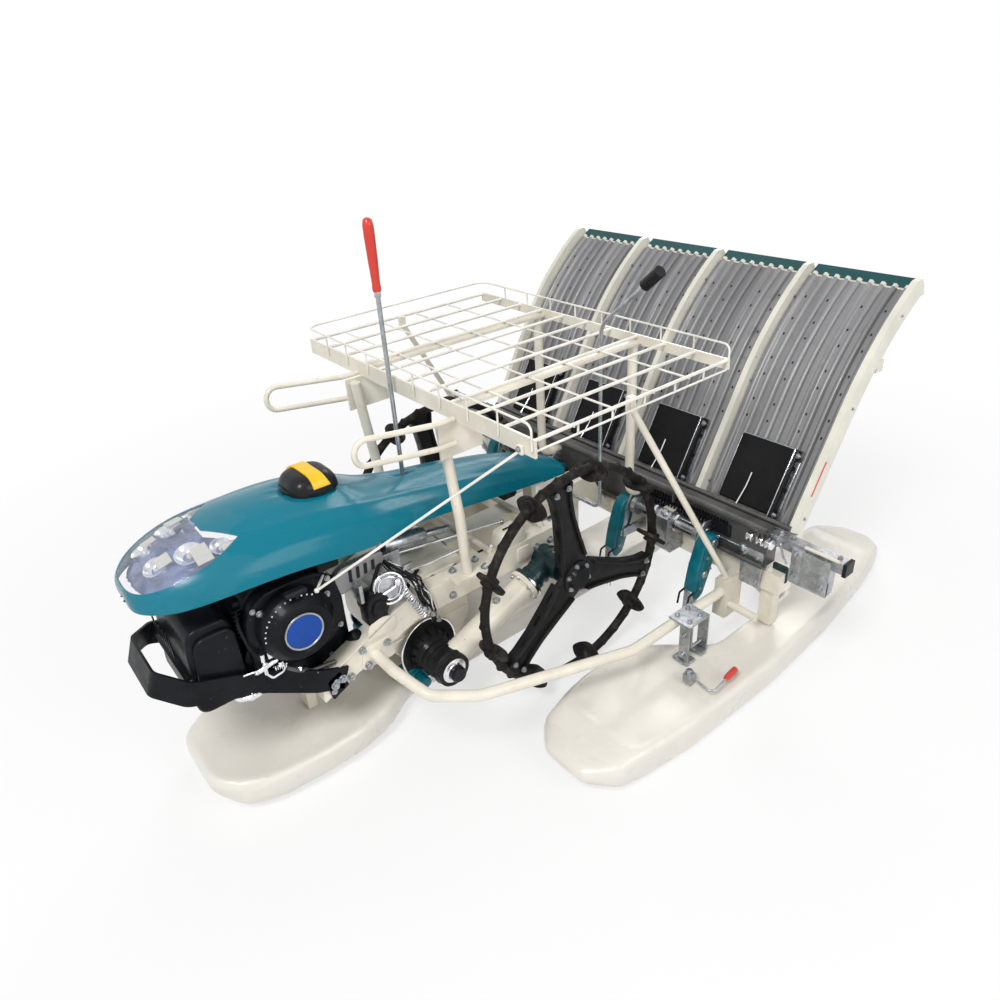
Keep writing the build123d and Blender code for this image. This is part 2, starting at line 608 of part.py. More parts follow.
with BuildPart() as rack_fence:
    bent_tube(((RACK_HALF_W, FENCE_Y[0], RACK_Z - 20), (RACK_HALF_W, FENCE_Y[0], fence_z),
               (-fence_x, FENCE_Y[0], fence_z), (-fence_x, FENCE_Y[1], fence_z),
               (RACK_HALF_W, FENCE_Y[1], fence_z), (RACK_HALF_W, FENCE_Y[1], RACK_Z - 14)),
              (16, 36, 36, 16), WIRE_D)
    for k in range(1, FENCE_POSTS):
        post_x = RACK_HALF_W - k * 2 * RACK_HALF_W / FENCE_POSTS
        for fence_y, foot_z in ((FENCE_Y[0], RACK_Z - 20), (FENCE_Y[1], RACK_Z - 14)):
            bar_between((post_x, fence_y, foot_z), (post_x, fence_y, fence_z - 1), WIRE_D - 0.6)
rack_fence.part.label = "rack_fence"
export_step(rack_fence.part, "parts/rack_fence.step")

LOOP_D = 13.0
LOOP_TIP_Y = AXLE_Y - 516
LOOP_REAR_Y = RACK_FRONT_Y - CHANNEL_T - 6
LOOP_Z = (769.0, 827.0)
LOOP_LIFT = 30.0              # how far the loop's tip stands above its rear end
LOOP_PLATE_Y = (AXLE_Y - 308, AXLE_Y - 190)
loop_bend = (LOOP_Z[1] - LOOP_Z[0]) / 2 - 1
strip_low_z = strip_top - 8

with BuildPart() as rack_front_posts:
    for name, side in SIDES:
        post_x = side * POST_X
        bent_tube(((post_x, AXLE_Y - 256, FRAME_TOP_Z + 8), (post_x, AXLE_Y - 262, 560),
                   (post_x, AXLE_Y - 290, 812)), (400,), POST_D)
        block(mirrored(side, POST_X - 40, POST_X + 22), (AXLE_Y - 300, AXLE_Y - 200),
              (FRAME_TOP_Z, FRAME_TOP_Z + 8))
rack_front_posts.part.label = "rack_front_posts"
export_step(rack_front_posts.part, "parts/rack_front_posts.step")

with BuildPart() as rack_loops:
    tip = LOOP_TIP_Y
    for name, side in SIDES:
        loop_x = side * (POST_X + POST_D / 2 + PLATE_T + LOOP_D / 2 - WELD)
        bent_tube(((loop_x, LOOP_REAR_Y, LOOP_Z[1]), (loop_x, LOOP_PLATE_Y[0], LOOP_Z[1]),
                   (loop_x, tip, LOOP_Z[1] + LOOP_LIFT), (loop_x, tip, LOOP_Z[0] + LOOP_LIFT),
                   (loop_x, LOOP_PLATE_Y[0], LOOP_Z[0]), (loop_x, LOOP_REAR_Y, LOOP_Z[0])),
                  (200, loop_bend, loop_bend, 200), LOOP_D)
        block(mirrored(side, POST_X + POST_D / 2, POST_X + POST_D / 2 + PLATE_T), LOOP_PLATE_Y,
              (LOOP_Z[0] - 32, rack_low))
rack_loops.part.label = "rack_loops"
export_step(rack_loops.part, "parts/rack_loops.step")

# ---------------------------------------------------------------- seedling tray
TRAY_HALF_W = LANES * ROW_PITCH / 2
tray_low = Vector(0, TRAY_FRONT_Y, TRAY_LOW_Z)
arc_len = radians(TRAY_ARC) * TRAY_ARC_R
TRAY_END = TRAY_STRAIGHT + arc_len
NOSE_LEN = 24.0               # the rims' hooked tips beyond the panels


def tray_point(run, height):
    """A (y, z) point: run along the tray from its lower end, height square to it."""
    straight = min(run, TRAY_STRAIGHT)
    angle = radians(TRAY_SLOPE) - max(run - TRAY_STRAIGHT, 0) / TRAY_ARC_R
    foot_y = TRAY_FRONT_Y + straight * cos(radians(TRAY_SLOPE))
    foot_z = TRAY_LOW_Z + straight * sin(radians(TRAY_SLOPE))
    if run > TRAY_STRAIGHT:
        first = radians(TRAY_SLOPE)
        foot_y += TRAY_ARC_R * (sin(first) - sin(angle))
        foot_z += TRAY_ARC_R * (cos(angle) - cos(first))
    return (foot_y - height * sin(angle), foot_z + height * cos(angle))


def tray_band(x_span, heights, start=0.0, end=TRAY_END):
    """A band of the tray's curve between two heights and two runs, in the open part."""
    low, high = heights
    middle = (TRAY_STRAIGHT + end) / 2
    with BuildSketch(yz(x_span[0])) as section:
        with BuildLine():
            if end > TRAY_STRAIGHT > start:
                Line(tray_point(start, low), tray_point(TRAY_STRAIGHT, low))
                ThreePointArc(tray_point(TRAY_STRAIGHT, low), tray_point(middle, low), tray_point(end, low))
                Line(tray_point(end, low), tray_point(end, high))
                ThreePointArc(tray_point(end, high), tray_point(middle, high),
                              tray_point(TRAY_STRAIGHT, high))
                Line(tray_point(TRAY_STRAIGHT, high), tray_point(start, high))
                Line(tray_point(start, high), tray_point(start, low))
            else:
                Polyline(tray_point(start, low), tray_point(end, low), tray_point(end, high),
                         tray_point(start, high), close=True)
        make_face()
    extrude(section.sketch, amount=x_span[1] - x_span[0])


RIM_UNDER = 22.0              # how far the rims reach below the panels' upper face
lane_half = (ROW_PITCH - RIM_W) / 2
lane_centres = [TRAY_SHIFT - TRAY_HALF_W + (k + 0.5) * ROW_PITCH for k in range(LANES)]
rim_centres = [TRAY_SHIFT - TRAY_HALF_W + k * ROW_PITCH for k in range(LANES + 1)]

with BuildPart() as tray_panels:
    for lane_x in lane_centres:
        tray_band((lane_x - lane_half, lane_x + lane_half), (-PANEL_T, 0))
        for k in range(RIBS_PER_LANE):
            rib_x = lane_x + (k - (RIBS_PER_LANE - 1) / 2) * (2 * lane_half - 28) / (RIBS_PER_LANE - 1)
            tray_band((rib_x - RIB_W / 2, rib_x + RIB_W / 2), (-WELD, RIB_H), 12, TRAY_END)
tray_panels.part.label = "tray_panels"
export_step(tray_panels.part, "parts/tray_panels.step")

RAIL_REAR_Y = AXLE_Y + 450
with BuildPart() as tray_rims:
    for rim_x in rim_centres:
        tray_band((rim_x - RIM_W / 2, rim_x + RIM_W / 2), (-RIM_UNDER, RIM_H - RIM_UNDER))
        tip_low = tray_point(TRAY_END, -RIM_UNDER)
        tip_high = tray_point(TRAY_END, RIM_H - RIM_UNDER)
        side_plate((rim_x - RIM_W / 2, rim_x + RIM_W / 2),
                   (tip_low, tip_high, (tip_high[0] + NOSE_LEN, tip_high[1] + 2),
                    (tip_high[0] + 1.6 * NOSE_LEN, tip_high[1] - 16),
                    (tip_low[0] + NOSE_LEN - 6, tip_low[1] + 2)))
    back_y, back_z = tray_point(TRAY_STRAIGHT + 150, -RIM_UNDER - 14)
    block((rim_centres[0] - RIM_W / 2, rim_centres[-1] + RIM_W / 2), (back_y - 15, back_y + 15),
          (back_z - 15, back_z + 15))
    foot_y, foot_z = tray_point(0, -RIM_UNDER)
    block((rim_centres[0] - RIM_W / 2, rim_centres[-1] + RIM_W / 2), (RAIL_REAR_Y + SEAT_GAP, foot_y + 6),
          (foot_z - 30, foot_z + 8))
tray_rims.part.label = "tray_rims"
export_step(tray_rims.part, "parts/tray_rims.step")

BELT_X = (-91.0, 67.0)        # each belt's edges, from its lane's middle
BELT_T = 3.0
BELT_RUN = (20.0, 196.0)
STRIP_T = 2.0
STRIP_OUT = 32.0
STRIP_UP = 19.0

with BuildPart() as feed_belts:
    for lane_x in lane_centres:
        tray_band((lane_x + BELT_X[0], lane_x + BELT_X[1]), (RIB_H + SEAT_GAP, RIB_H + SEAT_GAP + BELT_T),
                  *BELT_RUN)
feed_belts.part.label = "feed_belts"
export_step(feed_belts.part, "parts/feed_belts.step")

with BuildPart() as tray_end_strips:
    strip_start = tray_point(TRAY_END, 0)
    for lane_x in lane_centres:
        side_plate((lane_x - lane_half + 2, lane_x + lane_half - 2),
                   (strip_start, (strip_start[0] + STRIP_OUT, strip_start[1] + STRIP_UP),
                    (strip_start[0] + STRIP_OUT, strip_start[1] + STRIP_UP - STRIP_T),
                    tray_point(TRAY_END, -PANEL_T)))
tray_end_strips.part.label = "tray_end_strips"
export_step(tray_end_strips.part, "parts/tray_end_strips.step")

ROD_D = 5.0
ROD_X = -20.0                 # each lane's seedling rod, from its middle
GUIDE_X = (72.0, 84.0)        # and the guide strip beside its belt
GUIDE_RUN = (6.0, 200.0)
HOLD_BAR_D = 14.0
belt_face = RIB_H + SEAT_GAP + BELT_T
hold_bar = tray_point(4, RIM_H - RIM_UNDER + HOLD_BAR_D / 2 + SEAT_GAP)

with BuildPart() as seedling_rods:
    bar_between((rim_centres[0], *hold_bar), (rim_centres[-1], *hold_bar), HOLD_BAR_D)
    for lane_x in lane_centres:
        rod_x = lane_x + ROD_X
        rod_bend, rod_tip = tray_point(66, 20), tray_point(104, 20)
        bent_tube(((rod_x, *hold_bar), (rod_x, *rod_bend), (rod_x, *rod_tip)), (30,), ROD_D)
        tray_band((lane_x + GUIDE_X[0], lane_x + GUIDE_X[1]), (RIB_H + SEAT_GAP, RIM_H - RIM_UNDER + 3),
                  *GUIDE_RUN)
seedling_rods.part.label = "seedling_rods"
export_step(seedling_rods.part, "parts/seedling_rods.step")

# ---------------------------------------------------------------- planting section
BEAM_HALF_W = 640.0
RAIL_HALF_W = 600.0
RAIL_FRONT_Y = AXLE_Y + 405
RAIL_Z = (300.0, 400.0)
RAIL_BRACKETS = (-560, -230, 230, 560)
LEDGE_OUT = 50.0              # how far the tray's ledge stands behind the rail

with BuildPart() as planter_beam:
    block((-BEAM_HALF_W, BEAM_HALF_W), BEAM_Y, BEAM_Z)
planter_beam.part.label = "planter_beam"
export_step(planter_beam.part, "parts/planter_beam.step")

with BuildPart() as tray_rail:
    ledge_top = foot_z - 30 - SEAT_GAP
    side_plate((-RAIL_HALF_W, RAIL_HALF_W),
               ((RAIL_FRONT_Y, RAIL_Z[0]), (RAIL_FRONT_Y, RAIL_Z[1]), (RAIL_REAR_Y - 50, RAIL_Z[1]),
                (RAIL_REAR_Y - 50, RAIL_Z[1] + 18), (RAIL_REAR_Y - 20, RAIL_Z[1] + 18),
                (RAIL_REAR_Y - 20, RAIL_Z[1]), (RAIL_REAR_Y, RAIL_Z[1]), (RAIL_REAR_Y, ledge_top),
                (RAIL_REAR_Y + LEDGE_OUT, ledge_top), (RAIL_REAR_Y + LEDGE_OUT, ledge_top - 6),
                (RAIL_REAR_Y, ledge_top - 6), (RAIL_REAR_Y, RAIL_Z[0])))
    for bracket_x in RAIL_BRACKETS:
        block((bracket_x - 20, bracket_x + 20), (BEAM_Y[0], RAIL_REAR_Y), (BEAM_Z[1], RAIL_Z[0]))
tray_rail.part.label = "tray_rail"
export_step(tray_rail.part, "parts/tray_rail.step")

CASE_X = (280.0, 320.0)       # planting case of each side
CASE_OUTLINE = ((345, 250), (345, 350), (365, 365), (398, 365), (398, 290), (420, 278), (420, 230),
                (365, 230))
CRANK_Y = AXLE_Y + 375
CRANK_Z = 335.0
CRANK_R = 30.0
CRANK_T = 15.0
ARM_W = 44.0
ARM_OUTLINE = ((385, 350), (345, 364), (318, 330), (285, 190), (275, 140), (305, 140), (330, 200),
               (372, 300))
FORK_OUTLINE = ((281, 141), (301, 141), (292, 60), (284, 60))
PIN_Y = AXLE_Y + 356
PIN_Z = 335.0
PIN_LEN = 8.0
inner_row, outer_row = ROW_PITCH / 2, 3 * ROW_PITCH / 2

crank_in = (inner_row + ARM_W / 2 + PIN_LEN, inner_row + ARM_W / 2 + PIN_LEN + CRANK_T)
crank_out = (outer_row - ARM_W / 2 - PIN_LEN - CRANK_T, outer_row - ARM_W / 2 - PIN_LEN)
ROW_SIDES = [(side, row_x, pin_side) for name, side in SIDES
             for row_x, pin_side in ((inner_row, 1), (outer_row, -1))]

with BuildPart() as planting_cases:
    for name, side in SIDES:
        side_plate(mirrored(side, *CASE_X), [(AXLE_Y + y, z) for y, z in CASE_OUTLINE])
        disc(mirrored(side, crank_in[0], crank_out[1]), CRANK_Y, CRANK_Z, 10)
        disc(mirrored(side, CASE_X[0] - 20, CASE_X[1] + 20), CRANK_Y, CRANK_Z, 22)
        disc(mirrored(side, *crank_in), CRANK_Y, CRANK_Z, CRANK_R)
        disc(mirrored(side, *crank_out), CRANK_Y, CRANK_Z, CRANK_R)
planting_cases.part.label = "planting_cases"
export_step(planting_cases.part, "parts/planting_cases.step")

with BuildPart() as planting_arms:
    for side, row_x, pin_side in ROW_SIDES:
        side_plate(mirrored(side, row_x - ARM_W / 2, row_x + ARM_W / 2),
                   [(AXLE_Y + y, z) for y, z in ARM_OUTLINE])
        side_plate(mirrored(side, row_x - 7, row_x + 7), [(AXLE_Y + y, z) for y, z in FORK_OUTLINE])
        pin_x = row_x + pin_side * (ARM_W / 2 + PIN_LEN / 2)
        disc(mirrored(side, pin_x - PIN_LEN / 2, pin_x + PIN_LEN / 2), PIN_Y, PIN_Z, 9)
planting_arms.part.label = "planting_arms"
export_step(planting_arms.part, "parts/planting_arms.step")

with BuildPart() as planting_rockers:
    for side, row_x, pin_side in ROW_SIDES:
        near_x = row_x + pin_side * (ARM_W / 2 + SEAT_GAP)
        far_x = row_x + pin_side * (ARM_W / 2 + PIN_LEN)
        side_plate(mirrored(side, min(near_x, far_x), max(near_x, far_x)),
                   ((AXLE_Y + 322, 268), (AXLE_Y + 322, 240), (BEAM_Y[0], 234), (BEAM_Y[0], 266)))
planting_rockers.part.label = "planting_rockers"
export_step(planting_rockers.part, "parts/planting_rockers.step")

END_PLATE_X = (672.0, 775.0)
END_TUBE_X = 800.0
END_TUBE_Y = (AXLE_Y + 412, AXLE_Y + 442)
END_TUBE_Z = (375.0, 405.0)
END_CAP_T = 10.0

with BuildPart() as end_boxes:
    for name, side in SIDES:
        block(mirrored(side, RAIL_HALF_W, END_TUBE_X), END_TUBE_Y, END_TUBE_Z)
        block(mirrored(side, *END_PLATE_X), (AXLE_Y + 400, AXLE_Y + 431), RAIL_Z)
end_boxes.part.label = "end_boxes"
export_step(end_boxes.part, "parts/end_boxes.step")

with BuildPart() as end_caps:
    for name, side in SIDES:
        block(mirrored(side, END_TUBE_X, END_TUBE_X + END_CAP_T), (END_TUBE_Y[0] - 3, END_TUBE_Y[1] + 3),
              (END_TUBE_Z[0] - 3, END_TUBE_Z[1] + 3))
end_caps.part.label = "end_caps"
export_step(end_caps.part, "parts/end_caps.step")

# ---------------------------------------------------------------- rear rack posts and levers
REAR_POST_Y = RACK_REAR_Y - POST_D / 2 - 1
REAR_POST_Z = 385.0
with BuildPart() as rack_rear_posts:
    for name, side in SIDES:
        bent_tube(((side * POST_X, REAR_POST_Y, strip_low_z), (side * POST_X, REAR_POST_Y, REAR_POST_Z),
                   (side * POST_X, RAIL_FRONT_Y - SEAT_GAP, REAR_POST_Z)), (40,), POST_D)
rack_rear_posts.part.label = "rack_rear_posts"
export_step(rack_rear_posts.part, "parts/rack_rear_posts.step")

STAY_D = 6.0
STAY_EYE_X = 432.0
with BuildPart() as rack_stay:
    eye_y = RACK_FRONT_Y - CHANNEL_T
    bent_tube(((ENGINE_HALF_W, AXLE_Y - 600, 535), (200, AXLE_Y - 600, 535), (STAY_EYE_X, eye_y - 4, 826)),
              (20,), STAY_D)
    block((STAY_EYE_X - 9, STAY_EYE_X + 9), (eye_y - 8, eye_y), (818, 838))
rack_stay.part.label = "rack_stay"
export_step(rack_stay.part, "parts/rack_stay.step")

GRIP_D = 25.0
GRIP_Z = (1068.0, 1225.0)
KNOB_D = 30.0
KNOB_LEN = 60.0
KNOB_AT = (290.0, AXLE_Y + 250, 1022.0)
LEVER_BEND = (150.0, AXLE_Y + 250, 900.0)
lever_z = (frame_low_z + FRAME_TOP_Z) / 2

with BuildPart() as control_levers:
    block((SHIFT_X - 18, SHIFT_X + 18), (SHIFT_Y - 18, SHIFT_Y + 18), (CASE_TOP_Z, CASE_TOP_Z + 10))
    bar_between((SHIFT_X, SHIFT_Y, CASE_TOP_Z + 5), (SHIFT_X, SHIFT_Y, GRIP_Z[0]), SHIFT_D)
    bent_tube(((SPINE_HALF_W, KNOB_AT[1], lever_z), (LEVER_BEND[0], KNOB_AT[1], lever_z), LEVER_BEND,
               KNOB_AT), (30, 60), 10)
control_levers.part.label = "control_levers"
export_step(control_levers.part, "parts/control_levers.step")

with BuildPart() as shift_grip:
    bar_between((SHIFT_X, SHIFT_Y, GRIP_Z[0]), (SHIFT_X, SHIFT_Y, GRIP_Z[1]), GRIP_D)
    fillet(shift_grip.edges().filter_by(GeomType.CIRCLE), 8)
shift_grip.part.label = "shift_grip"
export_step(shift_grip.part, "parts/shift_grip.step")

with BuildPart() as side_knob:
    knob_way = Vector(*KNOB_AT) - Vector(*LEVER_BEND)
    with BuildSketch(Plane(origin=Vector(*KNOB_AT), z_dir=knob_way)) as section:
        Circle(KNOB_D / 2)
    extrude(section.sketch, amount=KNOB_LEN)
side_knob.part.label = "side_knob"
export_step(side_knob.part, "parts/side_knob.step")

# ---------------------------------------------------------------- float links and markers
with BuildPart() as float_links:
    block((-30, 30), (BED_FRONT_Y + 3, BED_FRONT_Y + 27), (FLOAT_DECK_Z, BED_TOP_Z - 40))
    block((-20, 20), (AXLE_Y + 250, AXLE_Y + 290), (FLOAT_DECK_Z, frame_low_z))
    for name, side in SIDES:
        block(mirrored(side, 580, 620), (AXLE_Y + 435, AXLE_Y + 465), (FLOAT_DECK_Z, BEAM_Z[0]))
float_links.part.label = "float_links"
export_step(float_links.part, "parts/float_links.step")

MARKER_D = 6.0
MARKER_Z = 120.0
with BuildPart() as side_markers:
    for name, side in SIDES:
        bent_tube(((side * 606, AXLE_Y + 105, MARKER_Z), (side * 687, AXLE_Y + 94, MARKER_Z),
                   (side * 676, AXLE_Y + 202, MARKER_Z)), (14,), MARKER_D)
        block(mirrored(side, 598, 622), (AXLE_Y + 92, AXLE_Y + 116), (FLOAT_DECK_Z, MARKER_Z + 6))
side_markers.part.label = "side_markers"
export_step(side_markers.part, "parts/side_markers.step")

# ---------------------------------------------------------------- handlebars
BAR_GRIP_D = 30.0
HANDLE_X = 250.0
HANDLE_END = (285.0, AXLE_Y + 1278, 772.0)
GRIP_END_Y = AXLE_Y + 1382.3
GRIP_SLEEVE_D = 38.0
SUPPORT_D = 24.0              # posts that carry the tray's back bar
handle_path = ((HANDLE_X, BEAM_Y[1], 250), (HANDLE_X, AXLE_Y + 540, 250), (HANDLE_X, AXLE_Y + 700, 300),
               (HANDLE_X, AXLE_Y + 1020, 640), (HANDLE_END[0], AXLE_Y + 1200, HANDLE_END[2]), HANDLE_END)
CROSS_TUBE_D = 26.0
PANEL_Y = (AXLE_Y + 1010, AXLE_Y + 1085)
PANEL_H = 82.0
PANEL_TUBE_Z = 652.0          # the cross tube that carries the control panel
PANEL_GAP = 40.0              # from each end of the panel to its handlebar's centre line

support_share = (back_y - handle_path[2][1]) / (handle_path[3][1] - handle_path[2][1])
support_foot = handle_path[2][2] + support_share * (handle_path[3][2] - handle_path[2][2])
support_top = back_z - 15 - SEAT_GAP

with BuildPart() as handlebars:
    for name, side in SIDES:
        bent_tube([(side * x, y, z) for x, y, z in handle_path], (60, 90, 120, 60), BAR_GRIP_D)
        bar_between((side * HANDLE_X, back_y, support_foot), (side * HANDLE_X, back_y, support_top), SUPPORT_D)
    for cross_y, cross_z in ((AXLE_Y + 620, 275), (AXLE_Y + 1040, PANEL_TUBE_Z)):
        bar_between((-HANDLE_X, cross_y, cross_z), (HANDLE_X, cross_y, cross_z), CROSS_TUBE_D)
handlebars.part.label = "handlebars"
export_step(handlebars.part, "parts/handlebars.step")

with BuildPart() as hand_grips:
    for name, side in SIDES:
        grip_x, grip_y, grip_z = HANDLE_END
        bar_between((side * grip_x, grip_y, grip_z), (side * grip_x, GRIP_END_Y, grip_z), GRIP_SLEEVE_D)
hand_grips.part.label = "hand_grips"
export_step(hand_grips.part, "parts/hand_grips.step")

with BuildPart() as control_panel:
    panel_low = PANEL_TUBE_Z + CROSS_TUBE_D / 2 + SEAT_GAP
    block((PANEL_GAP - HANDLE_X, HANDLE_X - PANEL_GAP), PANEL_Y, (panel_low, panel_low + PANEL_H))
    fillet(control_panel.edges().filter_by(Axis.X), 14)
control_panel.part.label = "control_panel"
export_step(control_panel.part, "parts/control_panel.step")
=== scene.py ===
"""Finish of a four-row walk-behind rice transplanter, laid out as an add-on and run as a script."""
import json
import sys
from contextlib import contextmanager
from math import atan2, cos, exp, pi, radians, sin

import bpy
from bpy.props import FloatProperty, FloatVectorProperty, IntProperty, PointerProperty
from mathutils import Matrix, Vector
from mathutils.bvhtree import BVHTree
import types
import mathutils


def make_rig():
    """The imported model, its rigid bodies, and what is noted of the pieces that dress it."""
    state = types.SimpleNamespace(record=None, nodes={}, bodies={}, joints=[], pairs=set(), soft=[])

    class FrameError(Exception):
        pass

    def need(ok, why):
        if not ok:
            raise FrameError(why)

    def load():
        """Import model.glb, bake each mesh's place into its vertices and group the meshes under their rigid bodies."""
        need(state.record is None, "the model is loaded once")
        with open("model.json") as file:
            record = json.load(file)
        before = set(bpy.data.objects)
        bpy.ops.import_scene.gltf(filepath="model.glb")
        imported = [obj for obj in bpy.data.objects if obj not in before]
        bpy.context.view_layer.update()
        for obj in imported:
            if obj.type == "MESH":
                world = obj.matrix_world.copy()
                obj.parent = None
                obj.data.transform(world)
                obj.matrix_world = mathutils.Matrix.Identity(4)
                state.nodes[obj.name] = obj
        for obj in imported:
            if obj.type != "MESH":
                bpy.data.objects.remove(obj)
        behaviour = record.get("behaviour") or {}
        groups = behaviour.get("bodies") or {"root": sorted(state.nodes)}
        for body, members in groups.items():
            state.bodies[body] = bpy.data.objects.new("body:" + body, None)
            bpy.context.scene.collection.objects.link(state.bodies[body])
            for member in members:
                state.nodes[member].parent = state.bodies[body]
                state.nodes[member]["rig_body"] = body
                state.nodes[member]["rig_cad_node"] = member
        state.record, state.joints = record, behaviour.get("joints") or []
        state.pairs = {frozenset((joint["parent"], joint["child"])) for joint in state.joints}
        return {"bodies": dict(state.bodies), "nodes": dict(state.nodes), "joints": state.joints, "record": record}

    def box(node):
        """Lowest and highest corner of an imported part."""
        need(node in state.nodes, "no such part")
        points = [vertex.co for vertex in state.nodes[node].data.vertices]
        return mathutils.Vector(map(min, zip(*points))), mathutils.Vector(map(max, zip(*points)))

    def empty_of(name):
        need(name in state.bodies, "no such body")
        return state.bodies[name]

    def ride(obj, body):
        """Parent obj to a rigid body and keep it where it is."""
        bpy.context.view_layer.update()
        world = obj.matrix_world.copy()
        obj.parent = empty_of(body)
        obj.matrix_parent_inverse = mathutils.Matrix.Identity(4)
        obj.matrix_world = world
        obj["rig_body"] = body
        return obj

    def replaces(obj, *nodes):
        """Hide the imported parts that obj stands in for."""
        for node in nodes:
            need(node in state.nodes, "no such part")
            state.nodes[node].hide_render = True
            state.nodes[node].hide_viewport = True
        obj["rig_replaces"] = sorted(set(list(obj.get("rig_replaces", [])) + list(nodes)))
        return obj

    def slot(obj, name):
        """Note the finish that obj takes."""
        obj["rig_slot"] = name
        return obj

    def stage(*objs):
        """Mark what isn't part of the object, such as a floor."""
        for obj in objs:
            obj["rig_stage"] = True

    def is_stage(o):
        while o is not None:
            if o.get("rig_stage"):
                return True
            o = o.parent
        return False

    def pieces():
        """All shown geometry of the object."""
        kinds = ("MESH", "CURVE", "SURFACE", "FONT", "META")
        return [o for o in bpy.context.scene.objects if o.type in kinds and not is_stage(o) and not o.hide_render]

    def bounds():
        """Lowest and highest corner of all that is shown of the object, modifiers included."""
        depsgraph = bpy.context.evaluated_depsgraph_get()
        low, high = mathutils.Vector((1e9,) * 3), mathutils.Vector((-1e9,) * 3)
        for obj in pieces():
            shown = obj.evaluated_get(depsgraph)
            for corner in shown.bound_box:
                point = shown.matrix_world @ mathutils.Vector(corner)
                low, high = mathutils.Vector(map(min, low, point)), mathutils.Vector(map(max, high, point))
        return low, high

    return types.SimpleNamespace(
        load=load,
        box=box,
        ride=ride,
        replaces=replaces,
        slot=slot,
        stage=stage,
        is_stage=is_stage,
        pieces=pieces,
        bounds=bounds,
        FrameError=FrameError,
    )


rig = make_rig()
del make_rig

bl_info = {
    "name": "Rice transplanter finish",
    "version": (1, 0, 0),
    "blender": (4, 5, 0),
    "location": "View3D > Sidebar > Transplanter",
    "description": "Adds the fittings, paint and wrapping of a four-row rice transplanter to its frame",
    "category": "Object",
}

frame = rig.load()
CAD_BOX = [list(corner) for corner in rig.bounds()]
NODE_BOXES = {node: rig.box(node) for node in frame["nodes"]}
SIDES = (("left", 1), ("right", -1))
LEFT, BACK, UP, FRONT = (1, 0, 0), (0, 1, 0), (0, 0, 1), (0, -1, 0)


def low(node):
    """The lowest corner of a frame node."""
    return NODE_BOXES[node][0]


def high(node):
    """The highest corner of a frame node."""
    return NODE_BOXES[node][1]


def middle(node):
    """The middle of a frame node's box."""
    return (low(node) + high(node)) / 2


AXLE = middle("left_wheel_ring")
AXLE_Y = AXLE.y
FRAME_TOP = low("rack_front_posts").z
DECK_Z = high("left_float").z


def at(x, y, z):
    """A point whose y is counted from the wheel axle, in metres."""
    return Vector((x, AXLE_Y + y, z))


# ---- settings
def colour_setting(label, value):
    """A paint or plastic colour that a user may change."""
    return FloatVectorProperty(name=label, description=f"Colour of the {label.lower()}",
                               subtype="COLOR", size=3, min=0.0, max=1.0, default=value)


class TransplanterColours(bpy.types.PropertyGroup):
    """Colours of the machine's finishes, one for each material slot."""
    teal_hood: colour_setting("Hood paint", (0.0, 0.165, 0.235))
    teal_paint: colour_setting("Planting arm paint", (0.0, 0.13, 0.17))
    teal_plastic: colour_setting("Tray end strips", (0.0, 0.06, 0.065))
    dark_green_paint: colour_setting("Axle housing paint", (0.012, 0.035, 0.038))
    cream_paint: colour_setting("Frame paint", (0.78, 0.73, 0.62))
    tray_rim_paint: colour_setting("Tray rim paint", (0.78, 0.755, 0.66))
    white_wire: colour_setting("Rack wire paint", (0.82, 0.79, 0.72))
    float_shell: colour_setting("Float shells", (0.8, 0.765, 0.69))
    white_plastic: colour_setting("Panel plastic", (0.7, 0.68, 0.6))
    rail_paint: colour_setting("Rail", (0.11, 0.108, 0.105))
    tray_steel: colour_setting("Tray sheet", (0.25, 0.25, 0.255))
    zinc_steel: colour_setting("Zinc plating", (0.46, 0.48, 0.5))
    black_paint: colour_setting("Engine paint", (0.005, 0.006, 0.008))
    wheel_casting: colour_setting("Wheel castings", (0.011, 0.011, 0.012))
    wheel_rubber: colour_setting("Wheel rubber", (0.014, 0.013, 0.012))
    black_rubber: colour_setting("Belts and grips", (0.012, 0.012, 0.013))
    black_plastic: colour_setting("Caps", (0.01, 0.01, 0.012))
    yellow_plastic: colour_setting("Cap grip", (0.9, 0.55, 0.01))
    red_plastic: colour_setting("Lever grip", (0.62, 0.035, 0.02))
    blue_badge: colour_setting("Starter badge", (0.004, 0.06, 0.34))
    lamp_lens: colour_setting("Lamp lens", (0.7, 0.74, 0.9))
    lamp_bed: colour_setting("Lamp bucket", (0.13, 0.17, 0.32))
    film: colour_setting("Wrapping film", (0.86, 0.88, 0.95))
    floor: colour_setting("Floor", (0.9, 0.9, 0.9))


class TransplanterSizes(bpy.types.PropertyGroup):
    """Sizes of the fittings that a user may change."""
    bolt_radius: FloatProperty(name="Bolt head", description="Radius of a frame bolt's head",
                               default=0.008, unit="LENGTH")
    small_bolt_radius: FloatProperty(name="Small bolt head", description="Radius of a small bolt's head",
                                     default=0.005, unit="LENGTH")
    hood_wall: FloatProperty(name="Hood wall", description="Thickness of the hood's moulding",
                             default=0.003, unit="LENGTH")
    lug_count: IntProperty(name="Lugs", description="Lugs round each wheel", default=9)
    film_gap: FloatProperty(name="Film gap", description="How far the film stands off the hood",
                            default=0.002, unit="LENGTH")


def colours():
    """The scene's finish colours."""
    return bpy.context.scene.transplanter_colours


def sizes():
    """The scene's fitting sizes."""
    return bpy.context.scene.transplanter_sizes


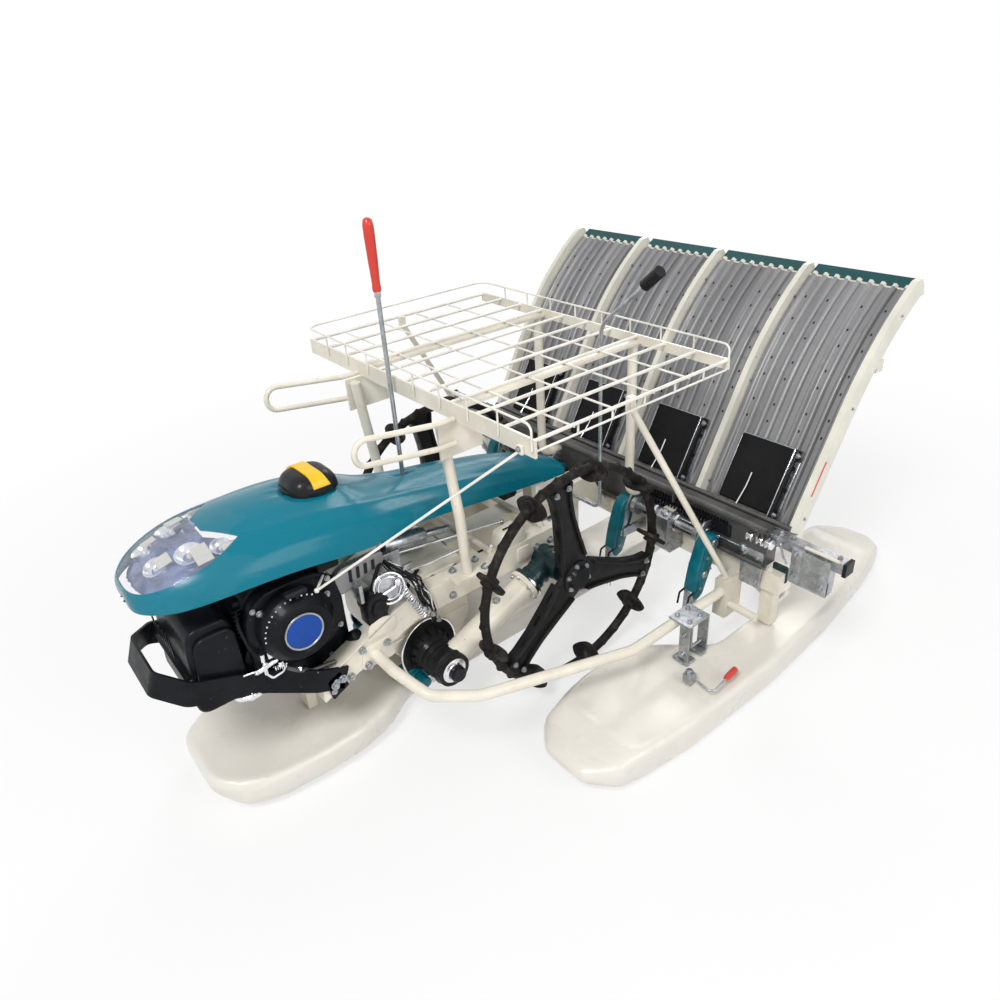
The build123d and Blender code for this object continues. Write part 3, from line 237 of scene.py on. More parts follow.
# ---- finishes
# Each finish: roughness, metal, coat, tone (how far the colour varies), size of the tone's
# patches per metre, grain strength, grain scale per metre, pattern.
FINISHES = {
    "teal_hood": (0.22, 0.0, 0.12, 0.05, 2.5, 0.02, 9, "smooth"),
    "teal_paint": (0.38, 0.0, 0.3, 0.15, 40, 0.2, 90, "cast"),
    "teal_plastic": (0.38, 0.0, 0.2, 0.12, 7, 0.05, 60, "smooth"),
    "dark_green_paint": (0.42, 0.1, 0.4, 0.4, 30, 0.3, 110, "cast"),
    "cream_paint": (0.4, 0.0, 0.35, 0.1, 9, 0.06, 45, "worn"),
    "tray_rim_paint": (0.4, 0.0, 0.3, 0.08, 8, 0.05, 40, "worn"),
    "white_wire": (0.38, 0.0, 0.35, 0.1, 14, 0.1, 120, "worn"),
    # The floats' pattern paints highlights along the film's creases.
    "float_shell": (0.3, 0.0, 0.3, 0.05, 4, 0.2, 13, "wrapped"),
    "white_plastic": (0.45, 0.0, 0.1, 0.06, 8, 0.08, 300, "smooth"),
    "rail_paint": (0.4, 0.5, 0.2, 0.2, 20, 0.12, 150, "drawn"),
    "tray_steel": (0.44, 0.55, 0.1, 0.16, 7, 0.06, 60, "drawn"),
    "zinc_steel": (0.3, 0.85, 0.0, 0.22, 35, 0.15, 120, "spangle"),
    "black_paint": (0.42, 0.0, 0.08, 0.4, 14, 0.1, 140, "worn"),
    "wheel_casting": (0.5, 0.15, 0.15, 0.35, 25, 0.3, 100, "cast"),
    "wheel_rubber": (0.66, 0.0, 0.0, 0.4, 22, 0.2, 80, "dusty"),
    "black_rubber": (0.6, 0.0, 0.0, 0.15, 16, 0.12, 260, "smooth"),
    "black_plastic": (0.4, 0.0, 0.2, 0.2, 12, 0.08, 200, "smooth"),
    "yellow_plastic": (0.36, 0.0, 0.3, 0.06, 30, 0.05, 90, "smooth"),
    "red_plastic": (0.34, 0.0, 0.4, 0.08, 25, 0.05, 90, "smooth"),
    "blue_badge": (0.34, 0.0, 0.15, 0.1, 20, 0.04, 60, "smooth"),
    "lamp_bed": (0.3, 0.2, 0.2, 0.5, 22, 0.2, 30, "smooth"),
}
DUST = (0.32, 0.28, 0.22)


class Nodes:
    """A new material's node tree, with short calls to add and join nodes."""

    def __init__(self, name):
        self.material = bpy.data.materials.new(name)
        self.material.use_nodes = True
        self.tree = self.material.node_tree
        self.shader = self.tree.nodes["Principled BSDF"]
        self.place = self.add("ShaderNodeTexCoord").outputs["Object"]

    def add(self, kind, **values):
        """A node of a kind, with its settings."""
        node = self.tree.nodes.new(kind)
        for key, value in values.items():
            setattr(node, key, value)
        return node

    def join(self, out, into):
        """A link from an output to an input."""
        self.tree.links.new(out, into)

    def stretched(self, scale):
        """The object's own coordinates, scaled by a different amount each way."""
        mapping = self.add("ShaderNodeMapping")
        mapping.inputs["Scale"].default_value = scale
        self.join(self.place, mapping.inputs["Vector"])
        return mapping.outputs["Vector"]

    def noise(self, scale, detail=4.0, kind="FBM", stretch=(1, 1, 1), roughness=0.55):
        """A noise over the piece."""
        node = self.add("ShaderNodeTexNoise", noise_type=kind)
        node.inputs["Scale"].default_value = scale
        node.inputs["Detail"].default_value = detail
        node.inputs["Roughness"].default_value = roughness
        self.join(self.stretched(stretch), node.inputs["Vector"])
        return node.outputs["Fac"]

    def ramp(self, source, first, last, start=0.35, end=0.65):
        """A two-colour ramp of a value."""
        node = self.add("ShaderNodeValToRGB")
        ends = node.color_ramp.elements
        ends[0].position, ends[1].position = start, end
        ends[0].color, ends[1].color = (*first, 1), (*last, 1)
        self.join(source, node.inputs["Fac"])
        return node.outputs["Color"]

    def span(self, source, to_low, to_high, from_low=0.3, from_high=0.7):
        """A value spread over another span."""
        node = self.add("ShaderNodeMapRange")
        for key, value in (("From Min", from_low), ("From Max", from_high),
                           ("To Min", to_low), ("To Max", to_high)):
            node.inputs[key].default_value = value
        self.join(source, node.inputs["Value"])
        return node.outputs["Result"]

    def mix(self, share, one, other):
        """A mix of two colours; each is an output or a fixed colour."""
        node = self.add("ShaderNodeMix", data_type="RGBA")
        self.join(share, node.inputs["Factor"])
        for key, value in (("A", one), ("B", other)):
            socket = [s for s in node.inputs if s.name == key and s.type == "RGBA"][0]
            if isinstance(value, tuple):
                socket.default_value = (*value, 1)
            else:
                self.join(value, socket)
        return [s for s in node.outputs if s.type == "RGBA"][0]

    def bump(self, height, strength, distance=0.002, below=None):
        """Relief from a height, over an earlier relief if there is one."""
        node = self.add("ShaderNodeBump")
        node.inputs["Strength"].default_value = strength
        node.inputs["Distance"].default_value = distance
        self.join(height, node.inputs["Height"])
        if below is not None:
            self.join(below, node.inputs["Normal"])
        return node.outputs["Normal"]

    def set(self, **values):
        """Fixed values and links on the shader's own sockets."""
        for key, value in values.items():
            socket = self.shader.inputs[key.replace("_", " ")]
            if isinstance(value, bpy.types.NodeSocket):
                self.join(value, socket)
            else:
                socket.default_value = value


def shade_of(colour, share):
    """A colour made lighter or darker."""
    return tuple(min(1.0, channel * share) for channel in colour)


def finish(slot):
    """The material of a finish, made the first time it is asked for."""
    name = f"{slot}_finish"
    if name in bpy.data.materials:
        return bpy.data.materials[name]
    rough, metal, coat, tone, tone_scale, grain, grain_scale, pattern = FINISHES[slot]
    colour = tuple(getattr(colours(), slot))
    nodes = Nodes(name)
    stretch = (1, 1, 1)
    if pattern == "drawn":
        stretch = (1, 0.12, 0.12)
    tone_noise = nodes.noise(tone_scale, 5, stretch=stretch)
    base = nodes.ramp(tone_noise, shade_of(colour, 1 - tone), shade_of(colour, 1 + tone))
    grain_noise = nodes.noise(grain_scale, 3)
    relief = nodes.bump(grain_noise, grain)
    if pattern in ("worn", "cast"):
        chips = nodes.span(nodes.noise(70, 6, roughness=0.7), 0.0, 1.0, 0.66, 0.72)
        base = nodes.mix(chips, base, shade_of(DUST, 0.8 if pattern == "worn" else 0.35))
        relief = nodes.bump(chips, 0.1, 0.0005, relief)
    if pattern == "dusty":
        dust = nodes.span(nodes.noise(28, 6, roughness=0.65), 0.0, 0.35, 0.5, 0.75)
        base = nodes.mix(dust, base, shade_of(DUST, 0.6))
    if pattern == "spangle":
        cells = nodes.add("ShaderNodeTexVoronoi")
        cells.inputs["Scale"].default_value = 90
        nodes.join(nodes.place, cells.inputs["Vector"])
        base = nodes.mix(nodes.span(cells.outputs["Distance"], 0, 0.3, 0.1), base,
                         shade_of(colour, 0.45))
    if pattern == "drawn":
        streaks = nodes.noise(55, 4, stretch=(1, 0.05, 0.05))
        relief = nodes.bump(streaks, 0.12, 0.0006, relief)
        stains = nodes.span(nodes.noise(17, 6, roughness=0.7), 0.0, 0.5, 0.58, 0.75)
        base = nodes.mix(stains, base, shade_of(colour, 0.45))
    if pattern == "wrapped":
        creases = nodes.noise(grain_scale, 7, "RIDGED_MULTIFRACTAL", (1.6, 0.5, 1.0), 0.6)
        relief = nodes.bump(creases, grain, 0.006, relief)
        # Painted highlight: the colour is lightened along the creases, standing in for the light the wrapping film's
        # folds catch; the creases' relief above is a real bump.
        base = nodes.mix(nodes.span(creases, 0, 0.14, 0.4, 1.1), base, shade_of(colour, 1.3))
    gloss = nodes.span(nodes.noise(tone_scale * 2.3, 4), rough - 0.08, rough + 0.1)
    nodes.set(Base_Color=base, Roughness=gloss, Normal=relief, Metallic=metal, Coat_Weight=coat,
        Coat_Roughness=0.12,
        Specular_IOR_Level=0.12 if max(colour) < 0.1 else 0.4 if colour[0] > 0.01 else 0.18)
    return nodes.material


def film_finish(name="film_finish", cover=0.01, glints=0.5):
    """Clear, crinkled wrapping film: see-through where flat, paler and less clear along its creases, which is painted
    glints standing in for the light its folds catch.
    """
    if name in bpy.data.materials:
        return bpy.data.materials[name]
    nodes = Nodes(name)
    creases = nodes.noise(17, 8, "RIDGED_MULTIFRACTAL", (1.0, 0.55, 1.3), 0.62)
    fine = nodes.noise(60, 5, "RIDGED_MULTIFRACTAL", (1, 0.7, 1), 0.5)
    relief = nodes.bump(creases, 1.0, 0.012)
    relief = nodes.bump(fine, 0.5, 0.003, relief)
    clear = tuple(colours().film)
    # Painted glints: along the creases the film's colour is lighter and its alpha higher.
    nodes.set(Base_Color=nodes.ramp(creases, shade_of(clear, 0.75), clear),
              Alpha=nodes.span(creases, cover, glints, 0.75, 1.35), Normal=relief, Roughness=0.16, IOR=1.45)
    return nodes.material


def lens_finish():
    """Clear lamp plastic with a faint tint."""
    if "lamp_lens_finish" in bpy.data.materials:
        return bpy.data.materials["lamp_lens_finish"]
    nodes = Nodes("lamp_lens_finish")
    flutes = nodes.noise(30, 3, stretch=(1, 0.3, 1))
    tint = tuple(colours().lamp_lens)
    nodes.set(Base_Color=nodes.ramp(flutes, shade_of(tint, 0.7), tint), Alpha=nodes.span(flutes, 0.06, 0.2),
              Normal=nodes.bump(flutes, 0.15, 0.001), Roughness=0.1, Coat_Weight=1.0, Coat_Roughness=0.04)
    return nodes.material


def bright_finish():
    """Polished metal of reflectors, springs and rods."""
    if "bright_finish" in bpy.data.materials:
        return bpy.data.materials["bright_finish"]
    nodes = Nodes("bright_finish")
    cloud = nodes.noise(40, 4)
    nodes.set(Base_Color=nodes.ramp(cloud, (0.72, 0.73, 0.76), (0.9, 0.9, 0.92)), Metallic=1.0,
              Roughness=nodes.span(cloud, 0.12, 0.26), Normal=nodes.bump(nodes.noise(160, 2), 0.05, 0.0005))
    return nodes.material


# ---- modelling tools
def pick(*objs):
    """Selects these objects only, the first one active; with none, deselects everything."""
    bpy.ops.object.select_all(action="DESELECT")
    for obj in objs:
        obj.select_set(True)
    if objs:
        bpy.context.view_layer.objects.active = objs[0]


@contextmanager
def editing(obj, select=None):
    """Edit mode on one object, with all or nothing selected first if asked."""
    pick(obj)
    bpy.ops.object.mode_set(mode="EDIT")
    if select:
        bpy.ops.mesh.select_all(action=select)
    yield
    bpy.ops.object.mode_set(mode="OBJECT")


def choose_faces(obj, test):
    """Selects the faces that pass a test, and no others."""
    with editing(obj):
        bpy.ops.mesh.select_mode(type="FACE")
        bpy.ops.mesh.select_all(action="DESELECT")
    for face in obj.data.polygons:
        face.select = test(face)


def settle(obj):
    """Puts an object's place, turn and scale into its mesh."""
    pick(obj)
    bpy.ops.object.transform_apply(location=True, rotation=True, scale=True)
    return obj


def modify(obj, kind, **values):
    """Adds a modifier and applies it at once."""
    pick(obj)
    modifier = obj.modifiers.new(kind.lower(), kind)
    for key, value in values.items():
        setattr(modifier, key, value)
    bpy.ops.object.modifier_apply(modifier=modifier.name)
    return obj


def ease(obj, width, segments=2):
    """Eases the sharp edges of a piece."""
    if width > 0:
        modify(obj, "BEVEL", width=width, segments=segments, limit_method="ANGLE", angle_limit=radians(35))
    return obj


def tidy_mesh(obj, merge=0.0001):
    """Merges doubled points and turns every face outwards."""
    with editing(obj, "SELECT"):
        bpy.ops.mesh.remove_doubles(threshold=merge)
        bpy.ops.mesh.normals_make_consistent(inside=False)
    return obj


def block(corner, other, edge=0.0, segments=2):
    """A cuboid between two corners, with eased edges."""
    one, two = Vector(corner), Vector(other)
    pick()
    bpy.ops.mesh.primitive_cube_add(size=1, location=(one + two) / 2,
                                    scale=[abs(side) for side in two - one])
    return ease(settle(bpy.context.object), edge, segments)


def bar(start, end, radius, end_radius=None, sides=24, edge=0.0):
    """A round bar or a taper between two points."""
    one, two = Vector(start), Vector(end)
    pick()
    bpy.ops.mesh.primitive_cone_add(
        vertices=sides, radius1=radius, radius2=radius if end_radius is None else end_radius,
        depth=(two - one).length, location=(one + two) / 2,
        rotation=(two - one).to_track_quat("Z", "Y").to_euler())
    return ease(settle(bpy.context.object), edge)


def hoop(centre, axis, radius, thickness, sides=48, ring_sides=12):
    """A ring round an axis."""
    pick()
    bpy.ops.mesh.primitive_torus_add(
        major_radius=radius, minor_radius=thickness, major_segments=sides, minor_segments=ring_sides,
        location=centre, rotation=Vector(axis).to_track_quat("Z", "Y").to_euler())
    return settle(bpy.context.object)


def ball(centre, radii, segments=32):
    """A ball or an egg."""
    pick()
    bpy.ops.mesh.primitive_uv_sphere_add(segments=segments, ring_count=segments // 2, radius=1,
                                         location=centre, scale=radii)
    return settle(bpy.context.object)


# How an outline's two numbers and its depth lie in space, by the plate's normal.
OUTLINE_AXES = {"X": lambda a, b, d: (d, a, b),
                "Y": lambda a, b, d: (a, d, b),
                "Z": lambda a, b, d: (a, b, d)}


def plate(outline, normal, depth, edge=0.0, segments=2):
    """A plate cut to an outline, from one depth to another along X, Y or Z; y counts from the axle."""
    lay = OUTLINE_AXES[normal]
    shift = Vector((0, AXLE_Y, 0))
    pick()
    bpy.ops.mesh.primitive_circle_add(vertices=len(outline), fill_type="NGON")
    obj = bpy.context.object
    for vertex, (a, b) in zip(obj.data.vertices, outline):
        vertex.co = Vector(lay(a, b, depth[0])) + shift
    obj.matrix_world = Matrix.Identity(4)
    with editing(obj, "SELECT"):
        bpy.ops.mesh.extrude_region_move(TRANSFORM_OT_translate={"value": lay(0, 0, depth[1] - depth[0])})
        bpy.ops.mesh.select_all(action="SELECT")
        bpy.ops.mesh.normals_make_consistent(inside=False)
    return ease(obj, edge, segments)


def rounded(outline, radius, steps=4):
    """An outline with its corners rounded."""
    points = []
    count = len(outline)
    for k, corner in enumerate(outline):
        here = Vector(corner)
        before, after = Vector(outline[k - 1]) - here, Vector(outline[(k + 1) % count]) - here
        reach = min(radius, before.length * 0.45, after.length * 0.45)
        first, last = here + before.normalized() * reach, here + after.normalized() * reach
        for step in range(steps + 1):
            t = step / steps
            points.append(tuple(first * (1 - t) ** 2 + here * (2 * t * (1 - t)) + last * t * t))
    return points


def skin(columns, rows, place, merge=True):
    """A grid whose points are moved to place(u, v), with u and v from 0 to 1."""
    pick()
    bpy.ops.mesh.primitive_grid_add(x_subdivisions=columns, y_subdivisions=rows, size=2)
    obj = bpy.context.object
    for vertex in obj.data.vertices:
        vertex.co = place((vertex.co.x + 1) / 2, (vertex.co.y + 1) / 2)
    return tidy_mesh(obj) if merge else obj


def turned(profile, start, axis, sides=48):
    """A turned piece: (radius, distance) pairs spun round an axis through start."""
    turn = Vector(axis).to_track_quat("Z", "Y")
    last = len(profile) - 1

    def place(u, v):
        radius, along = profile[round(v * last)]
        return Vector(start) + turn @ Vector((radius * cos(2 * pi * u), radius * sin(2 * pi * u), along))

    return skin(sides, last, place)


def rod(points, radius, bend=0.02, sides=3, steps=8):
    """A bent rod or pipe: straight runs with rounded corners."""
    pick()
    bpy.ops.curve.primitive_nurbs_path_add()
    obj = bpy.context.object
    obj.matrix_world = Matrix.Identity(4)
    route = [Vector(points[0])]
    for before, here, after in zip(points, points[1:], points[2:]):
        here, back, ahead = Vector(here), Vector(before) - Vector(here), Vector(after) - Vector(here)
        reach = min(bend, back.length * 0.45, ahead.length * 0.45)
        route += [here + back.normalized() * reach, here, here + ahead.normalized() * reach]
    route.append(Vector(points[-1]))
    curve = obj.data
    curve.splines.clear()
    spline = curve.splines.new("NURBS")
    spline.points.add(len(route) - 1)
    for point, spot in zip(spline.points, route):
        point.co = (*spot, 1)
    spline.order_u = 3
    spline.use_endpoint_u = True
    spline.resolution_u = steps if len(points) > 2 else 1
    curve.dimensions = "3D"
    curve.bevel_depth = radius
    curve.bevel_resolution = sides
    curve.use_fill_caps = True
    pick(obj)
    bpy.ops.object.convert(target="MESH")
    return tidy_mesh(bpy.context.object, merge=0.00002)


def coil(start, end, radius, wire, turns, sides=2):
    """A coil spring between two points."""
    one, two = Vector(start), Vector(end)
    turn = (two - one).to_track_quat("Z", "Y")
    count = int(turns * 10)
    return rod([one + turn @ Vector((radius * cos(2 * pi * k / 10), radius * sin(2 * pi * k / 10),
                                     (two - one).length * k / count)) for k in range(count + 1)],
               wire, bend=1.0, sides=sides, steps=2)


def copy_of(obj):
    """A copy with its own mesh."""
    twin = obj.copy()
    twin.data = obj.data.copy()
    bpy.context.scene.collection.objects.link(twin)
    return twin


def mirrored(obj):
    """A mirror image across the machine's middle, with its faces turned outwards again."""
    twin = copy_of(obj)
    twin.data.transform(Matrix.Scale(-1, 4, LEFT))
    twin.data.flip_normals()
    return twin


def both_sides(parts):
    """The parts and their mirror images."""
    return list(parts) + [mirrored(part) for part in parts]


def bolts(spots, radius=None):
    """Hexagon heads on washers, one for each (point, outward way); one is modelled and the rest copied."""
    radius = radius or sizes().bolt_radius
    washer = bar((0, 0, 0), (0, 0, radius * 0.25), radius * 1.35, sides=20)
    head = bar((0, 0, radius * 0.25), (0, 0, radius * 1.05), radius, sides=6, edge=radius * 0.12)
    stud = bar((0, 0, radius), (0, 0, radius * 1.5), radius * 0.5, sides=10)
    pick(washer, head, stud)
    bpy.ops.object.join()
    first = bpy.context.object
    copies = []
    for point, way in spots:
        twin = copy_of(first)
        turn = Vector(way).to_track_quat("Z", "Y").to_matrix().to_4x4()
        twin.data.transform(Matrix.Translation(Vector(point)) @ turn)
        copies.append(twin)
    bpy.data.objects.remove(first)
    return copies


def swell(obj, rise):
    """Moves every point along its normal, by a distance or by a function of its place and normal."""
    normals = [vertex.normal.copy() for vertex in obj.data.vertices]
    for vertex, normal in zip(obj.data.vertices, normals):
        vertex.co = vertex.co + normal * (rise(vertex.co, normal) if callable(rise) else rise)


def cad_copy(*nodes):
    """A merged copy of frame nodes, to be worked on."""
    copies = []
    for node in nodes:
        twin = frame["nodes"][node].copy()
        twin.data = twin.data.copy()
        twin.parent = None
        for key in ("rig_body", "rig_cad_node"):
            if key in twin:
                del twin[key]
        bpy.context.scene.collection.objects.link(twin)
        copies.append(twin)
    pick(*copies)
    if len(copies) > 1:
        bpy.ops.object.join()
    obj = bpy.context.view_layer.objects.active
    obj.data.materials.clear()
    pick(obj)
    bpy.ops.mesh.customdata_custom_splitnormals_clear()
    return tidy_mesh(obj)


def dress(parts, material):
    """Gives pieces a material."""
    for part in parts if isinstance(parts, (list, tuple)) else [parts]:
        part.data.materials.clear()
        part.data.materials.append(finish(material) if isinstance(material, str) else material)
    return parts


def in_zinc(parts):
    """Gives pieces the zinc-plated steel."""
    return dress(parts, "zinc_steel")


def in_rubber(parts):
    """Gives pieces the black rubber."""
    return dress(parts, "black_rubber")


def in_plastic(parts):
    """Gives pieces the black plastic."""
    return dress(parts, "black_plastic")


def piece(name, parts, slot, body="machine", replaces=(), smooth=30):
    """Joins parts into one finished piece that rides on a body."""
    parts = list(parts) if isinstance(parts, (list, tuple)) else [parts]
    for part in parts:
        if not part.data.materials or part.data.materials[0] is None:
            dress(part, slot)
    pick(*parts)
    if len(parts) > 1:
        bpy.ops.object.join()
    obj = settle(bpy.context.view_layer.objects.active)
    obj.name = name
    obj.data.name = name
    bpy.ops.object.shade_smooth_by_angle(angle=radians(smooth))
    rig.slot(obj, slot)
    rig.ride(obj, body)
    if replaces:
        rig.replaces(obj, *replaces)
    return obj


# ---- hood
LENS_LOW = (-1.0, 0.622)      # the lens's lower edge at the nose: y from the axle, z
LENS_HIGH = (-0.745, 0.688)   # and at its rear corners
TONGUE_TIP = (0.03, -0.805)   # the hood's tongue between the lamps: half its width, y
TONGUE_ROOT = (0.098, -0.745)
NOSE_ROWS = 14
FILM_THICKNESS = 0.0004       # of the clear film on the hood and floats


def hood_surface():
    """A smooth grid over the hood's outside, from its nose to its tail."""
    whole = cad_copy("bonnet_front", "bonnet_rear", "headlamp_lens")
    tree = BVHTree.FromObject(whole, bpy.context.evaluated_depsgraph_get())
    front, tail = low("bonnet_front").y, high("bonnet_rear").y
    nose_y = front + 0.07
    rows, columns = 96, 120

    def centre(y):
        under = tree.ray_cast(Vector((0, y, 0.1)), Vector(UP))[0]
        return Vector((0, y, under.z + 0.003))

    def place(u, v):
        across = pi * (0.004 + 0.992 * u)
        row = v * rows
        if row < NOSE_ROWS:
            dip = pi / 2 * (1 - row / NOSE_ROWS) * 0.999
            here = centre(nose_y)
            way = Vector((cos(across) * cos(dip), -sin(dip), sin(across) * cos(dip)))
        else:
            here = centre(nose_y + (tail - 0.001 - nose_y) * (row - NOSE_ROWS) / (rows - NOSE_ROWS))
            way = Vector((cos(across), 0, sin(across)))
        hit = tree.ray_cast(here + way * 0.5, -way)[0] or tree.find_nearest(here + way * 0.05)[0]
        reach = (hit - here).length
        fold = min(across, pi - across)
        back = min(1, max(0, (hit.y - front - 0.2) / 0.15)) * min(1, max(0, (tail - 0.1 - hit.y) / 0.3))
        ridge = 0.005 * exp(-((fold - radians(41)) / 0.06) ** 2)
        ridge += 0.004 * exp(-((fold - radians(22)) / 0.045) ** 2)
        return here + way * (reach - 0.003 + back * ridge)

    shell = skin(columns, rows, place)
    bpy.data.objects.remove(whole)
    with editing(shell):
        bpy.ops.mesh.select_mode(type="VERT")
    for vertex in shell.data.vertices:
        vertex.select = vertex.co.y < front + 0.09
    with editing(shell):
        bpy.ops.mesh.vertices_smooth(factor=0.5, repeat=10)
    return shell


def split_along(obj, point, normal):
    """Adds an edge loop where a plane crosses a piece."""
    with editing(obj, "SELECT"):
        bpy.ops.mesh.bisect(plane_co=point, plane_no=normal)


def lens_line(y):
    """Height of the lens's lower edge at a y counted from the axle."""
    return LENS_LOW[1] + (y - LENS_LOW[0]) * (LENS_HIGH[1] - LENS_LOW[1]) / (LENS_HIGH[0] - LENS_LOW[0])


def tongue_half(y):
    """Half the width of the hood's tongue at a y counted from the axle."""
    share = (y - TONGUE_TIP[1]) / (TONGUE_ROOT[1] - TONGUE_TIP[1])
    return -1 if share < 0 else TONGUE_TIP[0] + share * (TONGUE_ROOT[0] - TONGUE_TIP[0])


def in_lens(point):
    """Whether a point of the hood's surface belongs to the lamp lens."""
    y = point.y - AXLE_Y
    return y < LENS_HIGH[0] and point.z > lens_line(y) and abs(point.x) > tongue_half(y)


def wrap_hood(film):
    """Torn sheets of clear film over the nose and behind the cap."""
    front = low("bonnet_front").y
    tail = copy_of(film)
    keep_part(film, lambda p: p.y < front + 0.33 and p.z > 0.59 - 0.1 * (p.y - front))
    keep_part(tail, lambda p: -0.42 < p.y - AXLE_Y < -0.08 and p.z > 0.55)
    for sheet in (film, tail):
        modify(sheet, "SUBSURF", levels=1, render_levels=1)
    keep_part(film, lambda p: p.y < front + 0.235 + 0.03 * sin(p.x * 41) + 0.012 * sin(p.x * 133 + 1)
              and p.z > 0.607 + 0.16 * (p.y - front) + 0.006 * sin(p.y * 70) - 0.02 * sin(p.x * 9))
    keep_part(tail, lambda p: -0.38 + 0.02 * sin(p.x * 60) < p.y - AXLE_Y < -0.14 + 0.03 * sin(p.x * 37)
              and p.x > -0.07 and p.z > 0.572 + 0.012 * sin(p.y * 47) + 0.005 * sin(p.y * 150))
    for sheet in (film, tail):
        swell(sheet, sizes().film_gap)
        crumple(sheet, 0.005, 0.045, 0.0)
        modify(sheet, "SOLIDIFY", thickness=FILM_THICKNESS, offset=1)
    dress([film, tail], film_finish())
    piece("hood_film", [film, tail], "lamp_lens", smooth=60)


class TRANSPLANTER_OT_hood(bpy.types.Operator):
    """Adds the hood's moulding with its lamps, lens and wrapping film"""
    bl_idname = "transplanter.hood"
    bl_label = "Hood"

    def execute(self, context):
        shell = hood_surface()
        film = copy_of(shell)
        rise = (LENS_HIGH[1] - LENS_LOW[1]) / (LENS_HIGH[0] - LENS_LOW[0])
        split_along(shell, at(0, *LENS_LOW), (0, -rise, 1))
        split_along(shell, at(0, LENS_HIGH[0], 0), BACK)
        split_along(shell, at(0, TONGUE_TIP[1], 0), BACK)
        for side in (-1, 1):
            way = (TONGUE_ROOT[1] - TONGUE_TIP[1], side * (TONGUE_TIP[0] - TONGUE_ROOT[0]), 0)
            split_along(shell, at(side * TONGUE_TIP[0], TONGUE_TIP[1], 0), way)
        lens = copy_of(shell)
        keep_part(lens, in_lens)
        keep_part(shell, lambda p: not in_lens(p))
        bed = copy_of(lens)
        swell(bed, -0.02)
        tree = BVHTree.FromObject(lens, context.evaluated_depsgraph_get())
        for part in (shell, lens, bed):
            modify(part, "SOLIDIFY", thickness=sizes().hood_wall, offset=-1)
        piece("hood_shell", shell, "teal_hood", replaces=("bonnet_front", "bonnet_rear"), smooth=35)
        piece("lamp_glass", dress(lens, lens_finish()), "lamp_lens", replaces=("headlamp_lens",), smooth=35)
        lamps = []
        for x, y, size in ((0.05, -0.925, 0.022), (0.07, -0.85, 0.027), (0.092, -0.79, 0.02)):
            spot, normal = tree.find_nearest(at(x, y, 0.69))[:2]
            normal = normal if normal.z > 0 else -normal
            seat = spot - normal * 0.008
            bowl = turned([(0.0, -0.016), (size * 0.5, -0.013), (size * 0.85, -0.006), (size, 0.0),
                           (size * 1.08, 0.0), (size * 1.08, -0.012)], seat, normal, sides=32)
            bulb = ball(seat - normal * 0.009, (size * 0.25, size * 0.25, size * 0.25), 14)
            lamps += [dress(bowl, bright_finish()), dress(bulb, "white_plastic")]
        # Painted reflections: pale matte plates just under the lens stand in for the white light the lamp reflectors
        # mirror.
        for x, y, wide, long in ((0.052, -0.9, 0.032, 0.03), (0.092, -0.83, 0.05, 0.034),
                (0.108, -0.775, 0.02, 0.03)):
            spot, normal = tree.find_nearest(at(x, y, 0.69))[:2]
            normal = normal if normal.z > 0 else -normal
            across = Vector(BACK).cross(normal).normalized()
            along = normal.cross(across)
            flat = skin(2, 2,
                lambda u, v: spot - normal * 0.0055 + across * wide * (u - 0.5) + along * long * (v - 0.5))
            lamps.append(dress(modify(flat, "SOLIDIFY", thickness=0.0015), "white_plastic"))
        piece("lamp_buckets", [dress(bed, "lamp_bed")] + both_sides(lamps), "zinc_steel")
        wrap_hood(film)
        return {"FINISHED"}


def keep_part(obj, test):
    """Keeps only the faces whose middle passes a test."""
    choose_faces(obj, lambda face: not test(face.center))
    with editing(obj):
        bpy.ops.mesh.delete(type="FACE")


def crumple(obj, strength, size, level=0.35):
    """Raises folds in a thin sheet or a skin, the same each run; at level 0 they only rise."""
    texture = bpy.data.textures.new(f"{obj.name}_folds", "CLOUDS")
    texture.noise_scale = size
    texture.noise_basis = "VORONOI_F2_F1"
    texture.noise_depth = 2
    modify(obj, "DISPLACE", texture=texture, strength=strength, mid_level=level, texture_coords="LOCAL")


class TRANSPLANTER_OT_tank_cap(bpy.types.Operator):
    """Adds the fuel cap and its yellow grip"""
    bl_idname = "transplanter.tank_cap"
    bl_label = "Tank cap"

    def execute(self, context):
        base, top = low("tank_cap"), high("cap_grip")
        heart = middle("tank_cap")
        wide = (high("tank_cap").x - base.x) / 2
        height = top.z - base.z

        def dome(turn, rise, lift=0.0):
            square = 1 - 0.07 * cos(4 * turn)
            radius = (wide + lift) * square * max(0.0, cos(rise)) ** 0.45
            return Vector((heart.x + radius * cos(turn), heart.y + radius * sin(turn),
                           base.z + (height - 0.006 + lift) * sin(rise) ** 1.1))

        cap = skin(48, 16, lambda u, v: dome(2 * pi * u, v * pi / 2))
        skirt = turned([(wide * 0.95, 0), (wide * 1.0, 0.002), (wide * 1.0, 0.01), (wide * 0.93, 0.013)],
                       Vector((heart.x, heart.y, base.z)), UP)
        modify(skirt, "SOLIDIFY", thickness=0.003, offset=-1)
        in_plastic([cap, skirt])

        def strap(u, v):
            way = (u - 0.5) * 2
            rise = pi / 2 - abs(way) * radians(68)
            spot = dome(0 if way > 0 else pi, rise, 0.004)
            return Vector((spot.x, heart.y + (v - 0.5) * 2 * (0.016 + 0.005 * way * way) + 0.008 * way,
                    spot.z))

        strip = skin(40, 6, strap)
        modify(strip, "SOLIDIFY", thickness=0.008, offset=-1)
        ease(strip, 0.0015)
        dress(strip, "yellow_plastic")
        piece("fuel_cap", [cap, skirt], "black_plastic", replaces=("tank_cap",), smooth=40)
        piece("fuel_cap_grip", strip, "yellow_plastic", replaces=("cap_grip",), smooth=40)
        return {"FINISHED"}


